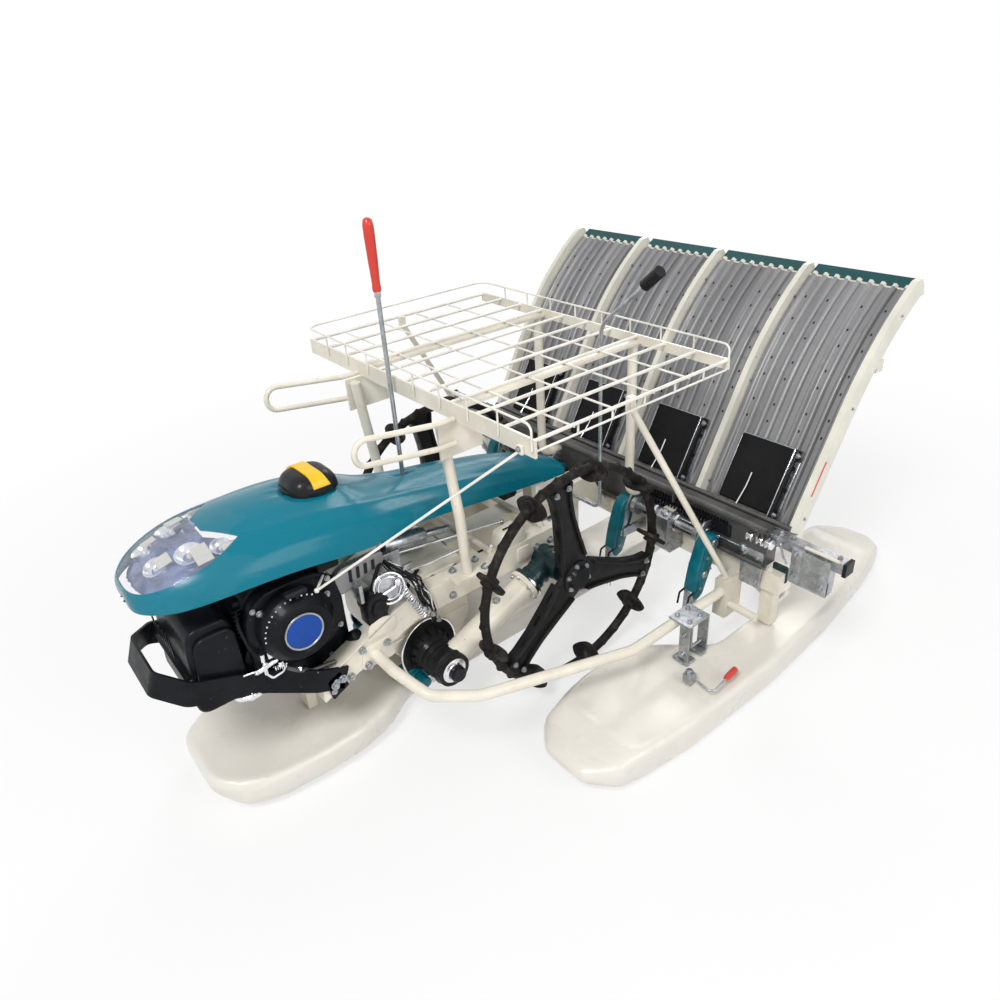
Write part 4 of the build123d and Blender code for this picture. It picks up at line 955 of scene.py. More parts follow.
# ---- engine
def add_starter():
    base, top = low("recoil_starter"), high("recoil_starter")
    heart = middle("recoil_starter")
    radius = (top.z - base.z) / 2
    depth = top.x - base.x
    face = Vector((base.x, heart.y, heart.z))
    cover = turned([(0.0, 0.0), (radius * 0.98, 0.0), (radius, 0.004), (radius, depth * 0.45),
                    (radius * 0.96, depth * 0.6), (radius * 0.9, depth * 0.7), (radius * 0.86, depth * 0.78),
                    (radius * 0.8, depth * 0.93), (radius * 0.74, depth), (radius * 0.62, depth),
                    (radius * 0.58, depth - 0.003), (0.0, depth - 0.003)], face, LEFT, sides=72)
    dress(cover, "black_paint")
    slots = []
    for k in range(14):
        turn = radians(60 + 9 * k)
        y, z = heart.y + radius * 0.925 * cos(turn), heart.z + radius * 0.925 * sin(turn)
        slots.append(bar((face.x + depth * 0.66, y, z), (face.x + depth * 0.71, y, z), 0.002, sides=10))
    dress(slots, bright_finish())
    rim = [hoop((face.x + depth * 0.05, heart.y, heart.z), LEFT, radius, 0.003, 72, 8)]
    dress(rim, "black_paint")
    ears = bolts([((face.x + 0.012, heart.y + radius * 1.03 * cos(a), heart.z + radius * 1.03 * sin(a)), LEFT)
                  for a in (radians(20), radians(140), radians(260))], 0.006)
    in_zinc(ears)
    grip = block(at(0.165, -0.715, 0.548), at(0.185, -0.665, 0.562), 0.006, 3)
    neck = bar(at(0.175, -0.69, 0.54), at(0.175, -0.69, 0.55), 0.005, sides=12)
    in_plastic([grip, neck])
    piece("starter_cover", [cover, *slots, *rim, *ears, grip, neck], "black_paint",
        replaces=("recoil_starter",))
    badge_radius = (high("starter_badge").z - low("starter_badge").z) / 2
    badge_x = low("starter_badge").x
    disc = turned([(0.0, 0.0012), (badge_radius * 0.9, 0.0012), (badge_radius * 0.92, 0.0)],
                  (badge_x - 0.002, heart.y, heart.z), LEFT, sides=64)
    ring = turned([(badge_radius * 0.9, 0.0), (badge_radius * 0.93, 0.0018), (badge_radius, 0.0018),
                   (badge_radius * 1.02, 0.0)], (badge_x - 0.002, heart.y, heart.z), LEFT, sides=64)
    dress(disc, "blue_badge")
    in_zinc(ring)
    piece("blank_badge", [disc, ring], "blue_badge", replaces=("starter_badge",))


def add_exhaust():
    base, top = low("muffler"), high("muffler")
    left, right = top.x, base.x
    can = plate(rounded(((base.y - AXLE_Y, base.z), (top.y - AXLE_Y, base.z), (top.y - AXLE_Y, top.z - 0.01),
                (base.y - AXLE_Y + 0.02, top.z - 0.01)), 0.035, 6), "X", (right, left - 0.012), 0.01, 4)
    cheek = plate(rounded(((base.y - AXLE_Y + 0.012, base.z + 0.03), (top.y - AXLE_Y, base.z + 0.03),
                           (top.y - AXLE_Y, top.z - 0.03), (base.y - AXLE_Y + 0.03, top.z - 0.03)), 0.03, 6),
                  "X", (left - 0.014, left), 0.006, 3)
    seam = plate(rounded(((base.y - AXLE_Y - 0.003, base.z + 0.1), (top.y - AXLE_Y, base.z + 0.1),
                (top.y - AXLE_Y, base.z + 0.106), (base.y - AXLE_Y - 0.003, base.z + 0.106)), 0.001), "X",
        (right + 0.01, left - 0.02), 0.001)
    slots = [block(at(right + 0.05 + 0.022 * k, base.y - AXLE_Y - 0.001, top.z - 0.09),
            at(right + 0.058 + 0.022 * k, base.y - AXLE_Y + 0.002, top.z - 0.045), 0.001) for k in range(6)]
    dress([can, cheek, seam, *slots], "black_paint")
    pipe = rod([at(left - 0.03, -0.85, 0.33), at(left + 0.004, -0.85, 0.326), at(left + 0.008, -0.82, 0.318),
                at(left - 0.004, -0.79, 0.312)], 0.009, 0.02, 4)
    clamp = hoop(at(left + 0.005, -0.825, 0.32), (0, 1, -0.2), 0.0105, 0.002, 24, 8)
    dress([pipe, clamp], bright_finish())
    piece("muffler_can", [can, cheek, seam, *slots, pipe, clamp], "black_paint", replaces=("muffler",))


def add_fuel_parts(side):
    """The small bright fittings low between the muffler and the starter, with their hose."""
    hose = rod([at(0.1, -0.8, 0.52), at(0.13, -0.81, 0.5), at(0.148, -0.805, 0.45), at(0.15, -0.79, 0.415)],
               0.0035, 0.03)
    drain = rod([at(0.15, -0.74, 0.36), at(0.158, -0.72, 0.345), at(0.158, -0.69, 0.325),
            at(0.156, -0.63, 0.315)], 0.005)
    in_rubber(hose)
    dress(drain, "rail_paint")
    tap = [bar(at(0.125, -0.785, 0.4), at(0.16, -0.785, 0.4), 0.007, sides=16, edge=0.001),
        bar(at(0.15, -0.785, 0.37), at(0.15, -0.785, 0.425), 0.0055, sides=16, edge=0.001),
        bar(at(0.15, -0.80, 0.385), at(0.15, -0.755, 0.395), 0.006, sides=16, edge=0.001),
        rod([at(0.15, -0.785, 0.37), at(0.154, -0.775, 0.355), at(0.156, -0.75, 0.36),
                at(0.152, -0.738, 0.375)], 0.003, 0.012),
        rod([at(0.15, -0.755, 0.395), at(0.157, -0.745, 0.405), at(0.157, -0.735, 0.425)], 0.0026, 0.01),
        rod([at(0.14, -0.83, 0.385), at(0.15, -0.81, 0.39), at(0.152, -0.795, 0.388)], 0.0022, 0.01),
        block(at(0.135, -0.775, 0.408), at(0.157, -0.757, 0.43), 0.002), block(at(0.14, -0.757, 0.372),
            at(0.156, -0.745, 0.386), 0.002), coil(at(0.155, -0.768, 0.378), at(0.155, -0.74, 0.372), 0.005,
            0.0012, 6)]
    tap += bolts([(at(0.16, -0.785, 0.4), LEFT), (at(0.157, -0.766, 0.42), (1, 0, 0.2)),
                  (at(0.156, -0.751, 0.379), LEFT), (at(0.156, -0.715, 0.342), (1, 0, 0.6)),
                  (at(0.15, -0.803, 0.385), (0.6, -1, 0)), (at(0.15, -0.738, 0.43), LEFT)],
                 sizes().small_bolt_radius * 0.9)
    dress(tap, bright_finish())
    cover = block(at(side - 0.03, -0.62, 0.545), at(side + 0.01, -0.565, 0.575), 0.006, 3)
    knob = turned([(0, 0.022), (0.008, 0.022), (0.01, 0.018), (0.01, 0.004), (0.006, 0.0), (0, 0)],
                  at(side - 0.015, -0.7, 0.566), (0.3, 0, 1), sides=20)
    dress(cover, "black_paint")
    dress(knob, bright_finish())
    piece("fuel_fittings", [hose, drain, *tap, cover, knob], "zinc_steel")


class TRANSPLANTER_OT_engine(bpy.types.Operator):
    """Adds the engine, its muffler, starter and carburettor"""
    bl_idname = "transplanter.engine"
    bl_label = "Engine"

    def execute(self, context):
        base, top = low("engine_block"), high("engine_block")
        side, rear, front = top.x, top.y, base.y
        crankcase = plate(rounded(((front - AXLE_Y, 0.29), (front - AXLE_Y, 0.40), (front - AXLE_Y + 0.03,
                    0.45), (rear - AXLE_Y, 0.45), (rear - AXLE_Y, 0.29)), 0.02), "X", (-side, side - 0.012),
            0.006)
        sump = block(at(-side + 0.02, front - AXLE_Y + 0.02, base.z), at(side - 0.03, rear - AXLE_Y - 0.02,
                0.3), 0.008)
        head = block(at(-0.09, front - AXLE_Y + 0.015, 0.44), at(0.09, -0.62, 0.535), 0.008)
        fins = [block(at(-0.1, front - AXLE_Y + 0.008, 0.452 + 0.011 * k), at(0.1, -0.63, 0.456 + 0.011 * k),
                0.001) for k in range(7)]
        tank = block(at(-0.092, -0.78, 0.542), at(0.092, -0.6, top.z - 0.0005), 0.02, 3)
        shroud = plate(rounded(((-0.80, 0.36), (-0.80, 0.5), (-0.755, 0.556), (-0.62, 0.556), (-0.572, 0.51),
                                (-0.572, 0.40), (-0.62, 0.352), (-0.76, 0.352)), 0.03),
                       "X", (0.08, side + 0.006), 0.006, 3)
        cooler = plate(rounded(((-0.79, 0.47), (-0.79, 0.53), (-0.75, 0.566), (-0.6, 0.566), (-0.6, 0.53)),
                0.02), "X", (-0.07, 0.1), 0.006)
        filler = bar(at(0.1, -0.575, 0.31), at(0.145, -0.56, 0.35), 0.014, edge=0.003)
        body = [crankcase, sump, head, *fins, tank, shroud, cooler, filler]
        dress(body, "black_paint")
        studs = bolts([(at(side - 0.012, y, z), LEFT) for y, z in ((-0.79, 0.31), (-0.79, 0.38),
                    (-0.58, 0.31), (-0.69, 0.3), (-0.62, 0.305))], sizes().small_bolt_radius)
        studs += bolts([(at(side + 0.006, y, z), LEFT) for y, z in (
            (-0.775, 0.525), (-0.6, 0.525), (-0.785, 0.375), (-0.59, 0.39))], sizes().small_bolt_radius)
        in_zinc(studs)
        piece("engine_casting", body + studs, "black_paint", replaces=("engine_block",))
        add_starter()
        add_exhaust()
        add_fuel_parts(side)
        return {"FINISHED"}


# ---- wheels
RING_RADIUS = 0.3             # middle of the ring
LUG_TILT = -42                # each lug's lean from the ring's radius, in degrees


def add_ring(name):
    node = f"{name}_wheel_ring"
    heart = middle(node)
    wide = (high(node).x - low(node).x) / 2
    radius = RING_RADIUS

    def tyre(u, v):
        turn, round_about = 2 * pi * u, 2 * pi * v
        knob = max(0.0, cos(turn * 36)) ** 3 * 0.006
        thick = 0.0115 + (knob if cos(round_about) > 0.2 else 0.0)
        across, out = 0.0125 * sin(round_about), thick * cos(round_about)
        return heart + Vector((across, (radius + out) * cos(turn), (radius + out) * sin(turn)))

    parts = [skin(288, 12, tyre)]
    count = sizes().lug_count
    lug = plate(rounded(((-wide, -0.004), (-0.036, 0.014), (-0.012, 0.0205), (0.012, 0.0205), (0.036, 0.014),
                (wide, -0.004), (0.04, -0.022), (0.016, -0.038), (-0.016, -0.038), (-0.04, -0.022)), 0.01, 3),
        "Y", (-0.005, 0.005), 0.0025)
    lug.data.transform(Matrix.Translation((0, -AXLE_Y, 0)))
    web = plate(rounded(((-0.02, 0.008), (0.0, 0.016), (0.02, 0.008), (0.02, -0.008), (0.0, -0.016),
                (-0.02, -0.008)), 0.006, 2), "Y", (-0.016, 0.016), 0.003)
    web.data.transform(Matrix.Translation((0, -AXLE_Y, 0)))
    pick(lug, web)
    bpy.ops.object.join()
    for k in range(count):
        turn = radians(37) + 2 * pi * k / count
        twin = copy_of(lug)
        twin.data.transform(Matrix.Translation(heart) @ Matrix.Rotation(turn, 4, "X")
                            @ Matrix.Rotation(-pi / 2, 4, "X") @ Matrix.Translation((0, 0, radius))
                            @ Matrix.Rotation(radians(LUG_TILT), 4, "X"))
        parts.append(twin)
    bpy.data.objects.remove(lug)
    piece(f"{name}_lugged_ring", parts, "wheel_rubber", f"{name}_wheel", (node,), smooth=45)


def add_spider(name, side):
    node = f"{name}_wheel_spider"
    ring = middle(f"{name}_wheel_ring")
    x0 = ring.x
    parts = []
    for k in range(3):
        edge = ((0.0, 0.045), (0.05, 0.044), (0.12, 0.034), (0.19, 0.026), (0.25, 0.027), (0.291, 0.038))
        arm = plate(rounded([(d, -w) for d, w in edge] + [(d, w) for d, w in reversed(edge)], 0.02),
                    "X", (-0.006, 0.006), 0.002)
        rib = plate(rounded([(d, w) for d, w in edge[1:]] + [(d, w - 0.009) for d, w in reversed(edge[1:])],
                0.01, 2), "X", (-0.02, 0.013), 0.002)
        foot = plate(rounded([(d, -w) for d, w in edge[1:]] + [(d, 0.009 - w) for d, w in reversed(edge[1:])],
                0.01, 2), "X", (-0.02, 0.013), 0.002)
        rivets = bolts([((side * 0.012, 0.277 + AXLE_Y, 0.02), (side, 0, 0)),
                        ((side * 0.012, 0.277 + AXLE_Y, -0.02), (side, 0, 0))], 0.006)
        turn = Matrix.Translation((x0, AXLE.y, AXLE.z)) @ Matrix.Rotation(radians(100 + 120 * k), 4, "X") \
            @ Matrix.Translation((0, -AXLE_Y, 0))
        for part in (arm, rib, foot, *rivets):
            part.data.transform(turn)
        dress([arm, rib, foot], "wheel_casting")
        in_zinc(rivets)
        parts += [arm, rib, foot, *rivets]
    inner, outer = -0.034, 0.024
    hub = turned([(0.0, inner), (0.03, inner), (0.032, -0.02), (0.046, -0.014), (0.046, 0.012),
            (0.034, 0.014), (0.03, outer), (0.0, outer)], (x0, AXLE.y, AXLE.z), (side, 0, 0), sides=40)
    axle = bar((x0, AXLE.y, AXLE.z), (x0 - side * 0.066, AXLE.y, AXLE.z), 0.0175, sides=32)
    dress([hub, axle], "wheel_casting")
    ring_bolts = bolts([((x0 + side * 0.013, AXLE.y + 0.037 * cos(a), AXLE.z + 0.037 * sin(a)), (side, 0, 0))
                        for a in [radians(40 + 60 * k) for k in range(6)]], 0.0055)
    in_zinc(ring_bolts)
    parts += [hub, axle, *ring_bolts]
    piece(f"{name}_cast_spider", parts, "wheel_casting", f"{name}_wheel", (node,), smooth=35)


class TRANSPLANTER_OT_wheels(bpy.types.Operator):
    """Adds the lugged rubber wheels and their cast spiders"""
    bl_idname = "transplanter.wheels"
    bl_label = "Wheels"

    def execute(self, context):
        for name, side in SIDES:
            add_ring(name)
            add_spider(name, side)
        return {"FINISHED"}


# ---- frame and gearbox
CHANNEL_FACE = 0.17           # outer face of each frame channel
LEG_CENTRE = 0.205            # centre plane of each wheel leg
LEG_PIVOT = (-0.365, 0.178)   # the leg's pivot: y from the axle, z
LEG_FLANGE = (-0.085, 0.2883)


def add_engine_mounts():
    """Black rubber-faced feet under the engine and the bolts that hold them."""
    feet = [block(at(0.118, y - 0.02, 0.284), at(0.166, y + 0.02, 0.3), 0.004) for y in (-0.655, -0.61)]
    dress(feet, "black_paint")
    heads = bolts([(at(0.152, y, 0.3), UP) for y in (-0.655, -0.61)], 0.007)
    in_zinc(heads)
    angle = plate(rounded(((-0.66, 0.226), (-0.668, 0.285), (-0.632, 0.3), (-0.615, 0.248)), 0.006),
                  "X", (CHANNEL_FACE, CHANNEL_FACE + 0.006), 0.0015)
    dress(angle, "black_paint")
    strip_bolts = bolts([(at(CHANNEL_FACE + 0.007, y, z), LEFT) for y, z in ((-0.65, 0.268), (-0.63, 0.276))],
                        0.008)
    in_zinc(strip_bolts)
    piece("engine_feet", both_sides([*feet, *heads, angle, *strip_bolts]), "black_paint")


def add_stay():
    """The thin stay from the starter's top to the rack, straight, with flattened ends."""
    foot, eye = at(0.17, -0.642, 0.532), Vector((0.432, high("rack_stay").y - 0.004, 0.826))
    stem = bar(foot, eye, 0.003, sides=14)
    heel = bar(at(0.124, -0.6, 0.535), foot, 0.003, sides=14)
    tab = block(eye - Vector((0.009, 0.004, 0.008)), eye + Vector((0.009, 0.004, 0.012)), 0.002)
    lug = ball(foot, (0.006, 0.006, 0.006), 14)
    head = in_zinc(bolts([(eye + Vector((0, -0.004, 0.004)), FRONT)], 0.005))
    piece("straight_stay", [stem, heel, tab, lug, *head], "white_wire", replaces=("rack_stay",))


def add_rods():
    """The control rods under the hood and the rack posts' clamps."""
    rods = [bar(at(0.1, -0.498, 0.497), at(0.1, -0.077, 0.43), 0.0035, sides=14),
            rod([at(0.12, -0.45, 0.44), at(0.12, -0.33, 0.425), at(0.115, -0.2, 0.42)], 0.003, 0.03),
            bar(at(-0.1, -0.5, 0.49), at(-0.1, -0.1, 0.43), 0.0035, sides=14)]
    dress(rods, bright_finish())
    joints = [ball(at(x, y, z), (0.007, 0.007, 0.007), 14) for x, y, z in (
        (0.1, -0.498, 0.497), (0.1, -0.077, 0.43), (-0.1, -0.5, 0.49), (-0.1, -0.1, 0.43))]
    in_zinc(joints)
    stands = [rod([at(0.1, -0.077, 0.43), at(0.1, -0.07, 0.39), at(0.135, -0.065, 0.385)], 0.004, 0.01),
              rod([at(-0.1, -0.1, 0.43), at(-0.1, -0.095, 0.39), at(-0.135, -0.09, 0.385)], 0.004, 0.01)]
    in_zinc(stands)
    piece("control_rods", [*rods, *joints, *stands], "zinc_steel")


class TRANSPLANTER_OT_frame_fittings(bpy.types.Operator):
    """Adds the frame's bolts, lips, gussets, brackets and feet"""
    bl_idname = "transplanter.frame_fittings"
    bl_label = "Frame fittings"

    def execute(self, context):
        face = CHANNEL_FACE
        spots = [(at(face, y, z), LEFT) for y, z in (
            (-0.655, 0.25), (-0.645, 0.275), (-0.605, 0.262), (-0.565, 0.318), (-0.30, 0.342), (-0.17, 0.342),
            (-0.02, 0.357), (0.03, 0.357))]
        spots += [(at(face + 0.006, -0.53 + y, 0.29 + z), LEFT) for y, z in ((-0.028, -0.018), (0.028, 0.02))]
        pad_z = FRAME_TOP + 0.008
        spots += [(at(x, y, pad_z), UP) for x, y in ((0.158, -0.285), (0.158, -0.215), (0.2, -0.215))]
        heads = in_zinc(bolts(spots))
        gusset = plate(rounded(((-0.55, 0.33), (-0.54, 0.375), (-0.5, 0.385), (-0.465, 0.37), (-0.47, 0.335)),
                0.012), "X", (face, face + 0.003), 0.001)
        flange = plate(rounded(((-0.575, 0.262), (-0.565, 0.32), (-0.49, 0.322), (-0.485, 0.262)), 0.01),
                       "X", (face, face + 0.005), 0.001)
        lip = plate(((-0.674, 0.2845), (-0.43, 0.3925), (-0.43, 0.3965), (-0.676, 0.2885)), "X",
            (face - 0.045, face + 0.003), 0.001)
        saddle = plate(rounded(((-0.14, 0.392), (-0.13, 0.44), (-0.06, 0.444), (-0.045, 0.392)), 0.014, 5),
                       "X", (0.125, 0.168), 0.005, 3)
        slot = block(at(0.1495, -0.115, 0.443), at(0.1545, -0.068, 0.4455), 0.001)
        cross = [bar(at(0.0, y, 0.4), at(face - 0.02, y, 0.4), 0.008, sides=20) for y in (-0.16, 0.02)]
        dress([gusset, flange, lip, saddle, *cross], "cream_paint")
        in_plastic(slot)
        webs = [plate(rounded(((-0.085, 0.336), (-0.03, 0.336), (-0.045, 0.378), (-0.085, 0.378)), 0.006),
                      "X", (face - 0.001, face + 0.003), 0.001)]
        dress(webs, "cream_paint")
        piece("frame_brackets", both_sides([gusset, flange, lip, saddle, slot, *cross, *webs, *heads]),
            "cream_paint")
        add_engine_mounts()
        add_rods()
        add_stay()
        return {"FINISHED"}


def add_drums(half):
    """The dark ribbed drum on each side, its bright ring and black boss, and the teal plug."""
    y, z = LEG_PIVOT
    drum = turned([(0.0, 0.0), (0.062, 0.0), (0.064, 0.004), (0.062, 0.01), (0.058, 0.02), (0.052, 0.034),
                   (0.046, 0.046), (0.044, 0.0495), (0.0, 0.0495)], at(half - 0.004, y, z), LEFT)
    fins = []
    for k in range(14):
        turn = 2 * pi * k / 14
        fin = block((0.0, -0.002, 0.045), (0.03, 0.002, 0.063), 0.001)
        fin.data.transform(Matrix.Translation(at(half, y, z)) @ Matrix.Rotation(turn, 4, "X"))
        fins.append(fin)
    hoops = [hoop(at(half + 0.006 + 0.013 * k, y, z), LEFT, 0.061 - 0.006 * k, 0.0028, 40,
            8) for k in range(3)]
    dress([drum, *fins, *hoops], "wheel_casting")
    out_x = LEG_CENTRE + 0.031
    ring = turned([(0.0, 0.0), (0.034, 0.0), (0.036, 0.003), (0.036, 0.006), (0.024, 0.009), (0.022, 0.012),
                   (0.0, 0.012)], at(out_x, y, z), LEFT, sides=40)
    boss = turned([(0.0, 0.0), (0.02, 0.0), (0.021, 0.003), (0.021, 0.02), (0.018, 0.024), (0.0, 0.024)],
                  at(out_x + 0.008, y, z), LEFT, sides=32)
    sleeve = turned([(0.039, -0.001), (0.049, 0.0), (0.051, 0.006), (0.049, 0.012), (0.0465, 0.02),
            (0.049, 0.026), (0.0465, 0.032), (0.0465, 0.05), (0.049, 0.056), (0.0465, 0.062), (0.045, 0.0745),
            (0.03, 0.0745)], at(LEG_CENTRE - 0.037, y, z), LEFT)
    guard = hoop(at(half + 0.012, y, z + 0.004), (1, 0.05, 0.1), 0.084, 0.0028, 72, 8)
    shield = turned([(0.06, 0.0), (0.083, 0.001), (0.083, 0.004), (0.06, 0.004)],
        at(half + 0.009, y, z + 0.004), (1, 0.05, 0.1), sides=64)
    dress([ring, guard], bright_finish())
    dress(sleeve, "wheel_casting")
    in_plastic(boss)
    dress(shield, "wheel_casting")
    plug = [bar(at(half + 0.03, y - 0.05, z - 0.052), at(half + 0.065, y - 0.05, z - 0.052), 0.016, sides=8,
            edge=0.002), bar(at(half + 0.02, y - 0.05, z - 0.052), at(half + 0.03, y - 0.05, z - 0.052),
            0.021, edge=0.002), block(at(half - 0.02, y - 0.085, z - 0.08), at(half + 0.022, y - 0.015,
                z - 0.025), 0.008, 3)]
    dress(plug, "teal_paint")
    piece("gearbox_drums", both_sides([drum, *fins, *hoops, ring, boss, sleeve, guard, shield, *plug]),
        "wheel_casting")


def add_leg_fittings():
    """The bolted flange between each leg and its axle housing, and the housing's ribs."""
    way = Vector((0, -LEG_PIVOT[0], AXLE.z - LEG_PIVOT[1])).normalized()
    flange = at(LEG_CENTRE, *LEG_FLANGE)
    side_way = Vector(LEFT)
    upward = way.cross(side_way)
    band = turned([(0.033, -0.003), (0.0462, -0.003), (0.0466, 0.0), (0.0462, 0.003), (0.033, 0.003)], flange,
        way, sides=40)
    spots = []
    for k in range(6):
        turn = radians(30 + 60 * k)
        spots.append((flange + (side_way * cos(turn) + upward * sin(turn)) * 0.039 - way * 0.012, -way))
    heads = bolts(spots, 0.006)
    dress(band, bright_finish())
    in_zinc(heads)
    collars = [turned([(0.033, -0.004), (0.0365, -0.003), (0.0365, 0.003), (0.033, 0.004)], flange + way * d,
            way, sides=36) for d in (0.022, 0.045)]
    ribs = [turned([(0.036, -0.003), (0.04, -0.002), (0.04, 0.002), (0.036, 0.003)],
                   (LEG_CENTRE + 0.02 * k - 0.01, AXLE.y, AXLE.z), LEFT, sides=36) for k in range(3)]
    dress(collars + ribs, "dark_green_paint")
    oil_plug = bolts([(flange + upward * 0.034 + way * 0.05, upward), (flange - upward * 0.034 - way * 0.1,
                -upward)], 0.008)
    in_zinc(oil_plug)
    weld = [turned([(0.033, -0.005), (0.0355, 0.0), (0.033, 0.005)], flange - way * (0.012 + 0.004), way,
            sides=36)]
    dress(weld, "cream_paint")
    piece("leg_flanges", both_sides([band, *heads, *collars, *ribs, *oil_plug, *weld]), "zinc_steel")


def add_pulley_and_cables():
    """The belt pulley behind the engine, with its tensioner spring, hoses and control cables."""
    heart = at(0.165, -0.468, 0.446)
    rim = hoop(heart, (1, -0.25, 0.35), 0.037, 0.0035, 56, 10)
    inner = hoop(heart, (1, -0.25, 0.35), 0.027, 0.002, 48, 8)
    web = turned([(0.0, -0.002), (0.03, -0.003), (0.031, 0.0), (0.0, 0.002)], heart - Vector((0.003, 0, 0)),
                 (1, -0.25, 0.35), sides=40)
    knob = ball(heart + Vector((0.006, 0.02, 0.012)), (0.012, 0.012, 0.012), 20)
    pin = bar(heart + Vector((0.002, -0.018, -0.008)), heart + Vector((0.012, 0.012, 0.006)), 0.003, sides=12)
    springs = [coil(at(0.178, -0.44, 0.44), at(0.182, -0.395, 0.335), 0.0085, 0.0018, 13),
               coil(at(0.16, -0.41, 0.45), at(0.176, -0.375, 0.36), 0.007, 0.0016, 12)]
    dress([rim, inner, knob, pin, *springs], bright_finish())
    in_zinc(web)
    cables = []
    for k in range(11):
        sway, lag = 0.016 * sin(2.1 * k), 0.014 * cos(1.7 * k)
        cables.append(rod([at(0.1 + 0.002 * k, -0.47 + 0.003 * k, 0.51 - 0.002 * k), at(0.15 + sway * 0.6,
                    -0.435 + lag, 0.475 + 0.4 * sway), at(0.175, -0.40 + sway, 0.44 - lag),
                    at(0.182 - 0.003 * (k % 3), -0.385 + lag, 0.39 + sway * 0.5),
                    at(0.183, -0.37 + sway * 0.7, 0.34), at(0.165, -0.365 + 0.001 * k, 0.29)],
                0.0024 - 0.0003 * (k % 3), 0.05, 2))
    in_rubber(cables)
    dress(cables[::4], bright_finish())
    motor = [bar(at(0.12, -0.505, 0.415), at(0.172, -0.505, 0.415), 0.031, sides=36, edge=0.004),
             bar(at(0.165, -0.505, 0.415), at(0.179, -0.505, 0.415), 0.019, sides=28, edge=0.003)]
    dress(motor, "wheel_casting")
    cables += motor
    links = [block(at(0.17, -0.372 - 0.012 * k, 0.32 + 0.014 * k), at(0.185, -0.364 - 0.012 * k,
                0.332 + 0.014 * k), 0.001) for k in range(5)]
    links += [block(at(0.15 + 0.004 * k, -0.425, 0.46 + 0.008 * k), at(0.158 + 0.004 * k, -0.4,
                0.466 + 0.008 * k), 0.001) for k in range(4)]
    in_zinc(links)
    nuts = bolts([(at(0.186, -0.372, 0.33), LEFT), (at(0.186, -0.395, 0.355), (1, 0, 0.3)),
                  (at(0.19, -0.42, 0.385), (1, -0.3, 0.3)), (at(0.172, -0.45, 0.42), (1, 0, 0.4)),
                  (at(0.18, -0.355, 0.30), LEFT)], 0.0055)
    in_zinc(nuts)
    piece("belt_tensioner", [rim, inner, web, knob, pin, *springs, *cables, *links, *nuts], "zinc_steel",
        smooth=40)


def add_hydraulics():
    """The black pump and the grey slotted valve panel behind the engine."""
    pump = block(at(0.125, -0.535, 0.365), at(0.172, -0.482, 0.428), 0.008, 3)
    snout = bar(at(0.148, -0.508, 0.42), at(0.148, -0.508, 0.452), 0.015, 0.011, edge=0.002)
    rear = turned([(0.0, 0.0), (0.026, 0.0), (0.026, 0.03), (0.02, 0.036), (0.0, 0.036)],
        at(0.13, -0.508, 0.4), LEFT, sides=32)
    dress([pump, snout, rear], "wheel_casting")
    panel = plate(rounded(((-0.575, 0.462), (-0.585, 0.515), (-0.565, 0.532), (-0.455, 0.532), (-0.455, 0.5),
                           (-0.54, 0.47)), 0.01), "X", (0.115, 0.135), 0.003)
    slots = [plate(rounded(((-0.55 + 0.02 * k, 0.488 + 0.002 * k), (-0.548 + 0.02 * k, 0.52),
                (-0.54 + 0.02 * k, 0.52), (-0.542 + 0.02 * k, 0.488 + 0.002 * k)), 0.002, 2), "X",
            (0.134, 0.1365)) for k in range(4)]
    dress(panel, "tray_steel")
    in_plastic(slots)
    cylinder = [bar(at(0.06, -0.42, 0.49), at(0.06, -0.3, 0.47), 0.024, sides=36, edge=0.003),
                bar(at(0.06, -0.3, 0.47), at(0.06, -0.22, 0.456), 0.01, edge=0.002)]
    in_zinc(cylinder)
    tabs = [block(at(0.105, -0.46, 0.43), at(0.112, -0.40, 0.5), 0.002), block(at(0.13, -0.545, 0.44),
            at(0.168, -0.535, 0.49), 0.002)]
    in_zinc(tabs)
    hoses = [rod([at(0.14, -0.5, 0.45), at(0.135, -0.47, 0.5), at(0.09, -0.43, 0.51), at(0.06, -0.41, 0.5)],
            0.005, 0.03), rod([at(0.13, -0.48, 0.39), at(0.15, -0.45, 0.36), at(0.13, -0.4, 0.4),
                at(0.1, -0.35, 0.41)], 0.005, 0.03)]
    in_rubber(hoses)
    piece("hydraulic_unit", [pump, snout, rear, panel, *slots, *cylinder, *tabs, *hoses], "wheel_casting")


